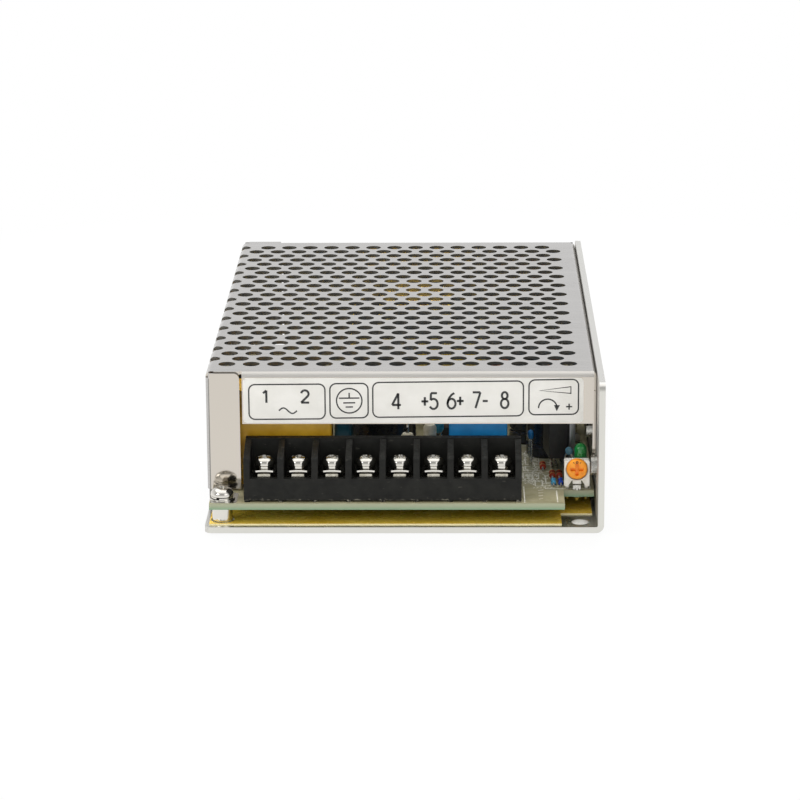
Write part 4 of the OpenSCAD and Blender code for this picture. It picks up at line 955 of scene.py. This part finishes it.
# Cement-coated upright resistors: matt cream bodies, the upper lead bent over and down
cream_cement = finish("cast_cream_cement", "#C2BBA2", "#DAD4BF", 1, detail=4, Roughness=0.6)
relief(cream_cement, grain(cream_cement, 0.5), 0.015)
stands = [((0.6, front + 23, board_top), (0, 0, 0)), ((6.1, front + 31, board_top), (0, 0, 20))]
body = [(0, 1.6), (1.2, 1.65), (1.6, 2), (1.6, 10.9), (1.25, 11.5), (0.6, 11.75), (0, 11.8)]
body = turned(body, cream_cement)
bend_z, bend_y, lead_wide = 14.6, 3.6, 0.7
bent = rounded([(0, 0, 11.6), (0, 0, bend_z), (0, bend_y, bend_z), (0, bend_y, 0)], 1.75)
lead = along([bent, [(0, 0, 0), (0, 0, 1.7)]], drawn_wire, lead_wide, tinned_wire)
put("upright_resistors_cast", [repeated(body, stands), repeated(lead, stands)], "tan_coating",
    "upright_resistors")
# Little dipped discs on long leads: each has its own size, height and turn, and its leads close in under it
teal_lacquer = lacquer("dipped_teal_lacquer", "#1E6F86", "#2F8AA2")
blue_lacquer = lacquer("dipped_mid_blue_lacquer", "#12598F", "#1F6EA8")
grey_lacquer = lacquer("dipped_grey_blue_lacquer", "#3F6473", "#557E8E")
half_bead = [(0, -1.0), (0.7, -0.95), (1.3, -0.7), (1.62, -0.3)]
bead = half_bead + [(1.7, 0)] + [(r, -z) for r, z in reversed(half_bead)]
dipped_discs = []
discs = (
    (31.4, 33, 8.3, 0.76, 12, blue_lacquer),
    (8.0, 40, 8.3, 1.0, 80, teal_lacquer),
    (40.6, 20.5, 7.65, 0.62, 60, grey_lacquer))
lead_wide = 0.45
for x, y, z, size, angle, paint in discs:
    rest = ((x, front + y, board_top), (0, 0, angle))
    disc = at(turned(bead, paint, sides=24), (0, 0, 0), (0, 90, 0))
    disc.transform(Matrix.Translation((0, 0, z)) @ Matrix.Scale(size, 4))
    legs = [rounded([(0, s * 1.2, 0), (0, s * 1.2, z - 2.7 * size), (0, s * 0.6, z - size)], 0.4)
            for s in (-1, 1)]
    legs = along(legs, drawn_wire, lead_wide, tinned_wire)
    dipped_discs += [repeated(disc, [rest]), repeated(legs, [rest])]
put("disc_capacitors_dipped", dipped_discs, "blue_coating", "disc_capacitors")


# Cover: plated steel sheet 0.8 mm thick, perforated over the top and the left wall, then folded.
# It is screwed to the chassis' ears and right wall; its front lip and flange stand over the terminals.
def where(material, *tests):
    """A mask, 1 where every test holds; a test is a pattern, more or less, and a limit."""
    tree = material.node_tree
    mask = 1.0
    for factor, test, limit in tests:
        held = add(tree, "ShaderNodeMath", {0: factor, 1: limit}, operation=test)
        mask = add(tree, "ShaderNodeMath", {0: mask, 1: held}, operation="MULTIPLY")
    return mask


# Bright plating: a slightly hazy mirror drawn along the coil; punched edges are darker and rougher.
plated_sheet = finish("bright_plated_steel_sheet", "#B7B5B3", "#C2C0BE", 0.4, (60, 1, 1), Metallic=1.0)
vary(plated_sheet, "Roughness", grain(plated_sheet, 5, (3, 1, 3), 4), 0.16, 0.26)
relief(plated_sheet, grain(plated_sheet, 0.4, (60, 1, 1)), 0.0015)
upward, outward, forward = (across(plated_sheet, axis) for axis in "ZXY")
squarely = (0.9, 0.98)
vary(plated_sheet, "Roughness", forward, "below", 0.09, squarely)
# Faces that look forwards or backwards are painted a lighter, warmer grey: a painted reflection of the floor
# in front of them
vary(plated_sheet, "Base Color", forward, "below", "#CFC8BE", squarely)
# The bends, and the punched edges of the holes in the top and in the left wall
more, less, masked = "GREATER_THAN", "LESS_THAN", (0.4, 0.6)
along_x, along_y, height = (level(plated_sheet, axis) for axis in "XYZ")
bends = where(plated_sheet, (upward, more, 0.15), (forward, more, 0.15))
vary(plated_sheet, "Roughness", bends, "below", 0.55, masked)
vary(plated_sheet, "Base Color", bends, "below", "#D0CDC8", masked)
in_top = where(plated_sheet, (upward, less, 0.5), (height, more, 36.3), (along_y, more, front + 14))
vary(plated_sheet, "Base Color", in_top, "below", "#77756F", masked)
vary(plated_sheet, "Roughness", in_top, "below", 0.5, masked)
in_wall = where(plated_sheet, (outward, less, 0.5), (along_x, less, -47.6), (height, less, 35.6))
vary(plated_sheet, "Base Color", in_wall, "below", "#8A8882", masked)
dress(plated_sheet, "cover")


# Front label: a white printed film stuck to the cover's lip above the terminals.
# It carries only plain pole numbers and general signs, printed in thin black ink.
# Printed film: white with a soft sheen, very slightly wavy over the sheet.
label_film = finish("white_printed_film", "#CFCDC7", "#D7D5D0", 6, detail=4, Roughness=0.38)
relief(label_film, grain(label_film, 3), 0.008)
dress(label_film, "front_label")
# Screen-printed ink: dense matt black, a little uneven.
black_ink = finish("screen_printed_black_ink", "#222222", "#383838", 0.3, detail=3, Roughness=0.55)
digits = {
    "1": [[(-0.2, 0.78), (0.06, 1)], [(0.06, 1), (0.06, 0)]],
    "2": [arc(0, 0.71, 0.29, 170, -38, 14) + [(-0.3, 0)], [(-0.3, 0), (0.33, 0)]],
    "4": [[(0.15, 0), (0.15, 1)], [(0.15, 1), (-0.33, 0.27)], [(-0.33, 0.27), (0.35, 0.27)]],
    "5": [[(0.27, 1), (-0.2, 1)], [(-0.2, 1), (-0.22, 0.55)], arc(0, 0.32, 0.32, 133, -150, 18)],
    "6": [arc(0, 0.31, 0.31, 0, 360, 24),
          [(0.22, 0.98), (0.02, 0.88), (-0.16, 0.7), (-0.27, 0.5), (-0.31, 0.31)]],
    "7": [[(-0.3, 1), (0.3, 1)], [(0.3, 1), (-0.08, 0)]],
    "8": [arc(0, 0.28, 0.29, 0, 360, 24), arc(0, 0.78, 0.22, 0, 360, 20)],
    "+": [[(-0.27, 0.48), (0.27, 0.48)], [(0, 0.21), (0, 0.75)]],
    "-": [[(-0.2, 0.45), (0.2, 0.45)]]}


def numbers(text, x, y, tall, wide):
    """Stroke paths of numbers and signs, their middle at x and their foot at y."""
    paths = []
    for i, sign in enumerate(text):
        middle = x + (i - (len(text) - 1) / 2) * 0.68 * tall * wide
        paths += [[(middle + px * tall * wide, y + py * tall) for px, py in path] for path in digits[sign]]
    return paths


rims = [frame_path(x0, x1, z0, z1, 1.5, rise) for x0, x1, z0, z1, rise in (
    (-37.9, -19.3, 25.4, 34.2, 0.12), (-18.1, -8.8, 25.7, 34.4, 0.1),
    (-7.65, 29.05, 25.9, 34.7, 0.35), (30.4, 42.45, 26.5, 35.3, 0.15))]
earth_x, earth_z = -13.4, 30.1
rims += [arc(earth_x, earth_z, 3.1, 0, 360, 40), [(earth_x, earth_z + 2.0), (earth_x, earth_z + 0.65)]]
rims += [[(earth_x - w, earth_z + z), (earth_x + w, earth_z + z + 0.04)]
         for w, z in ((2.5, 0.65), (1.45, -0.55), (0.9, -1.6))]
# The wave for alternating current, the arrow that shows which way the adjuster turns, and a widening wedge
rims.append([(-30.6 + 0.22 * i, 27.6 + 0.7 * sin(2 * pi * i / 20)) for i in range(21)])
rims += [arc(35.0, 28.2, 2.25, 180, 8, 20), [(39.45, 28.55), (40.95, 28.55)], [(40.2, 27.8), (40.2, 29.3)]]
rims.append([(33.0, 32.6), (40.6, 31.9), (40.6, 33.6), (33.0, 32.6)])
signs = []
for text, x, z in (("1", -33.8, 29.6), ("2", -24.2, 29.65)):
    signs += numbers(text, x, z, tall=3.1, wide=1.0)
for text, x, z in (("4", -1.9, 27.95), ("+5", 6.1, 28.0), ("6+", 12.6, 28.1), ("7-", 18.7, 28.2),
                   ("8", 24.5, 28.25)):
    signs += numbers(text, x, z, tall=4.0, wide=0.78)
fine, bold, print_thick, print_lift = 0.34, 0.54, 0.03, 0.012
arrow = pressed([(36.5, 28.95), (37.2, 27.4), (37.95, 28.95)], print_thick, black_ink)
label_print = [ink(rims, fine, print_thick, black_ink), ink(signs, bold, print_thick, black_ink),
               at(arrow, (0, 0, -print_thick / 2))]
label_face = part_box("front_label")[0][1] / mm
label_print = [at(mesh, (0, label_face - print_lift, 0), upright) for mesh in label_print]
put("label_print", label_print, "label_film")


# Stage: a plain pale floor, soft lamps and a white surround, seen from the photograph's place.
# The floor is white to the eye and in the metal, and keeps the object's soft shadow near its foot.
floor_paint = bpy.data.materials.new("matt_white_floor")
floor_paint.use_nodes = True
tree = floor_paint.node_tree
tree.nodes.clear()
path = add(tree, "ShaderNodeLightPath").outputs
seen = add(tree, "ShaderNodeMath", {0: path["Is Camera Ray"], 1: path["Is Glossy Ray"]}, operation="MAXIMUM")
seen = add(tree, "ShaderNodeMath", {0: seen, 1: path["Is Transmission Ray"]}, operation="MAXIMUM")
matt = add(tree, "ShaderNodeBsdfDiffuse", {"Color": linear("#C8C8C6")})
glow = add(tree, "ShaderNodeEmission", {"Color": linear("#FFFFFF"), "Strength": 1.0})
place = add(tree, "ShaderNodeTexCoord").outputs["Object"]
away = add(tree, "ShaderNodeVectorMath", {0: place}, operation="LENGTH").outputs["Value"]
share = {"Value": away, "From Min": 0.1, "From Max": 0.3, "To Min": 0.92, "To Max": 1.0}
share = add(tree, "ShaderNodeMapRange", share)
lit = add(tree, "ShaderNodeMixShader", {0: share, 1: matt, 2: glow})
last = add(tree, "ShaderNodeMixShader", {0: seen, 1: matt, 2: lit})
add(tree, "ShaderNodeOutputMaterial", {"Surface": last})
floor_gap = 0.0002
bpy.ops.mesh.primitive_plane_add(size=8, location=(0, 0, cad_box[0][2] - floor_gap))
floor = bpy.context.object
floor.name = "floor"
floor.data.materials.append(floor_paint)

# The surround is white to the eye; metal sees a white backdrop behind, and the dim room over the camera
world = bpy.data.worlds.new("white_studio")
bpy.context.scene.world = world
world.use_nodes = True
tree = world.node_tree
tree.nodes.clear()
path = add(tree, "ShaderNodeLightPath").outputs
way = add(tree, "ShaderNodeTexCoord").outputs["Generated"]
rise = add(tree, "ShaderNodeSeparateXYZ", {0: way}).outputs["Z"]
dim = {"Value": rise, "From Min": 0.0, "From Max": 0.8, "To Min": 1.0, "To Max": 0.6}
dim = add(tree, "ShaderNodeMapRange", dim)
behind = add(tree, "ShaderNodeSeparateXYZ", {0: way}).outputs["Y"]
room = {"Value": behind, "From Min": -0.2, "From Max": 0.1, "To Min": 0.62, "To Max": 1.0}
room = add(tree, "ShaderNodeMapRange", room)
dim = add(tree, "ShaderNodeMath", {0: dim, 1: room}, operation="MULTIPLY")
glossy = add(tree, "ShaderNodeMix", {0: path["Is Glossy Ray"], 2: 0.7, 3: dim}, data_type="FLOAT")
clear = {0: path["Is Camera Ray"], 1: path["Is Transmission Ray"]}
clear = add(tree, "ShaderNodeMath", clear, operation="MAXIMUM")
strength = add(tree, "ShaderNodeMix", {0: clear, 2: glossy, 3: 1.0}, data_type="FLOAT")
surround = add(tree, "ShaderNodeBackground", {"Color": linear("#FFFFFF"), "Strength": strength})
add(tree, "ShaderNodeOutputWorld", {"Surface": surround})

# Each lamp's place and width in metres, its power in watts, and whether metal mirrors it
lamps = (
    ("overhead_softbox", (0.0, 0.2, 1.4), 2.4, 16, True),
    ("back_softbox", (0.0, 0.9, 1.2), 1.0, 32, False),
    ("left_softbox", (-1.1, -0.2, 0.5), 0.8, 9, False),
    ("front_softbox", (-0.9, -0.9, 0.7), 0.5, 2.6, True),
    ("fill_softbox", (0.0, -1.2, 0.5), 0.5, 1.6, False),
    ("right_softbox", (0.9, -1.0, 0.6), 0.8, 1.8, True))
for name, place, size, watts, mirrored in lamps:
    lamp = bpy.data.lights.new(name, "AREA")
    lamp.shape = "SQUARE"
    lamp.size = size
    lamp.energy = watts
    stand = shown(name, lamp)
    stand.location = place
    stand.rotation_euler = (-Vector(place)).to_track_quat("-Z", "Y").to_euler()
    stand.visible_glossy = mirrored

camera = bpy.data.cameras.new("photo_camera")
camera.lens = 143.162
camera.sensor_width = 36
camera.clip_end = 20
viewer = shown("photo_camera", camera)
viewer.location = (0.011883, -0.815168, 0.236619)
viewer.rotation_euler = (radians(74.5705), radians(0.3119), radians(0.9023))
bpy.context.scene.camera = viewer
bpy.context.scene.view_settings.view_transform = "Standard"
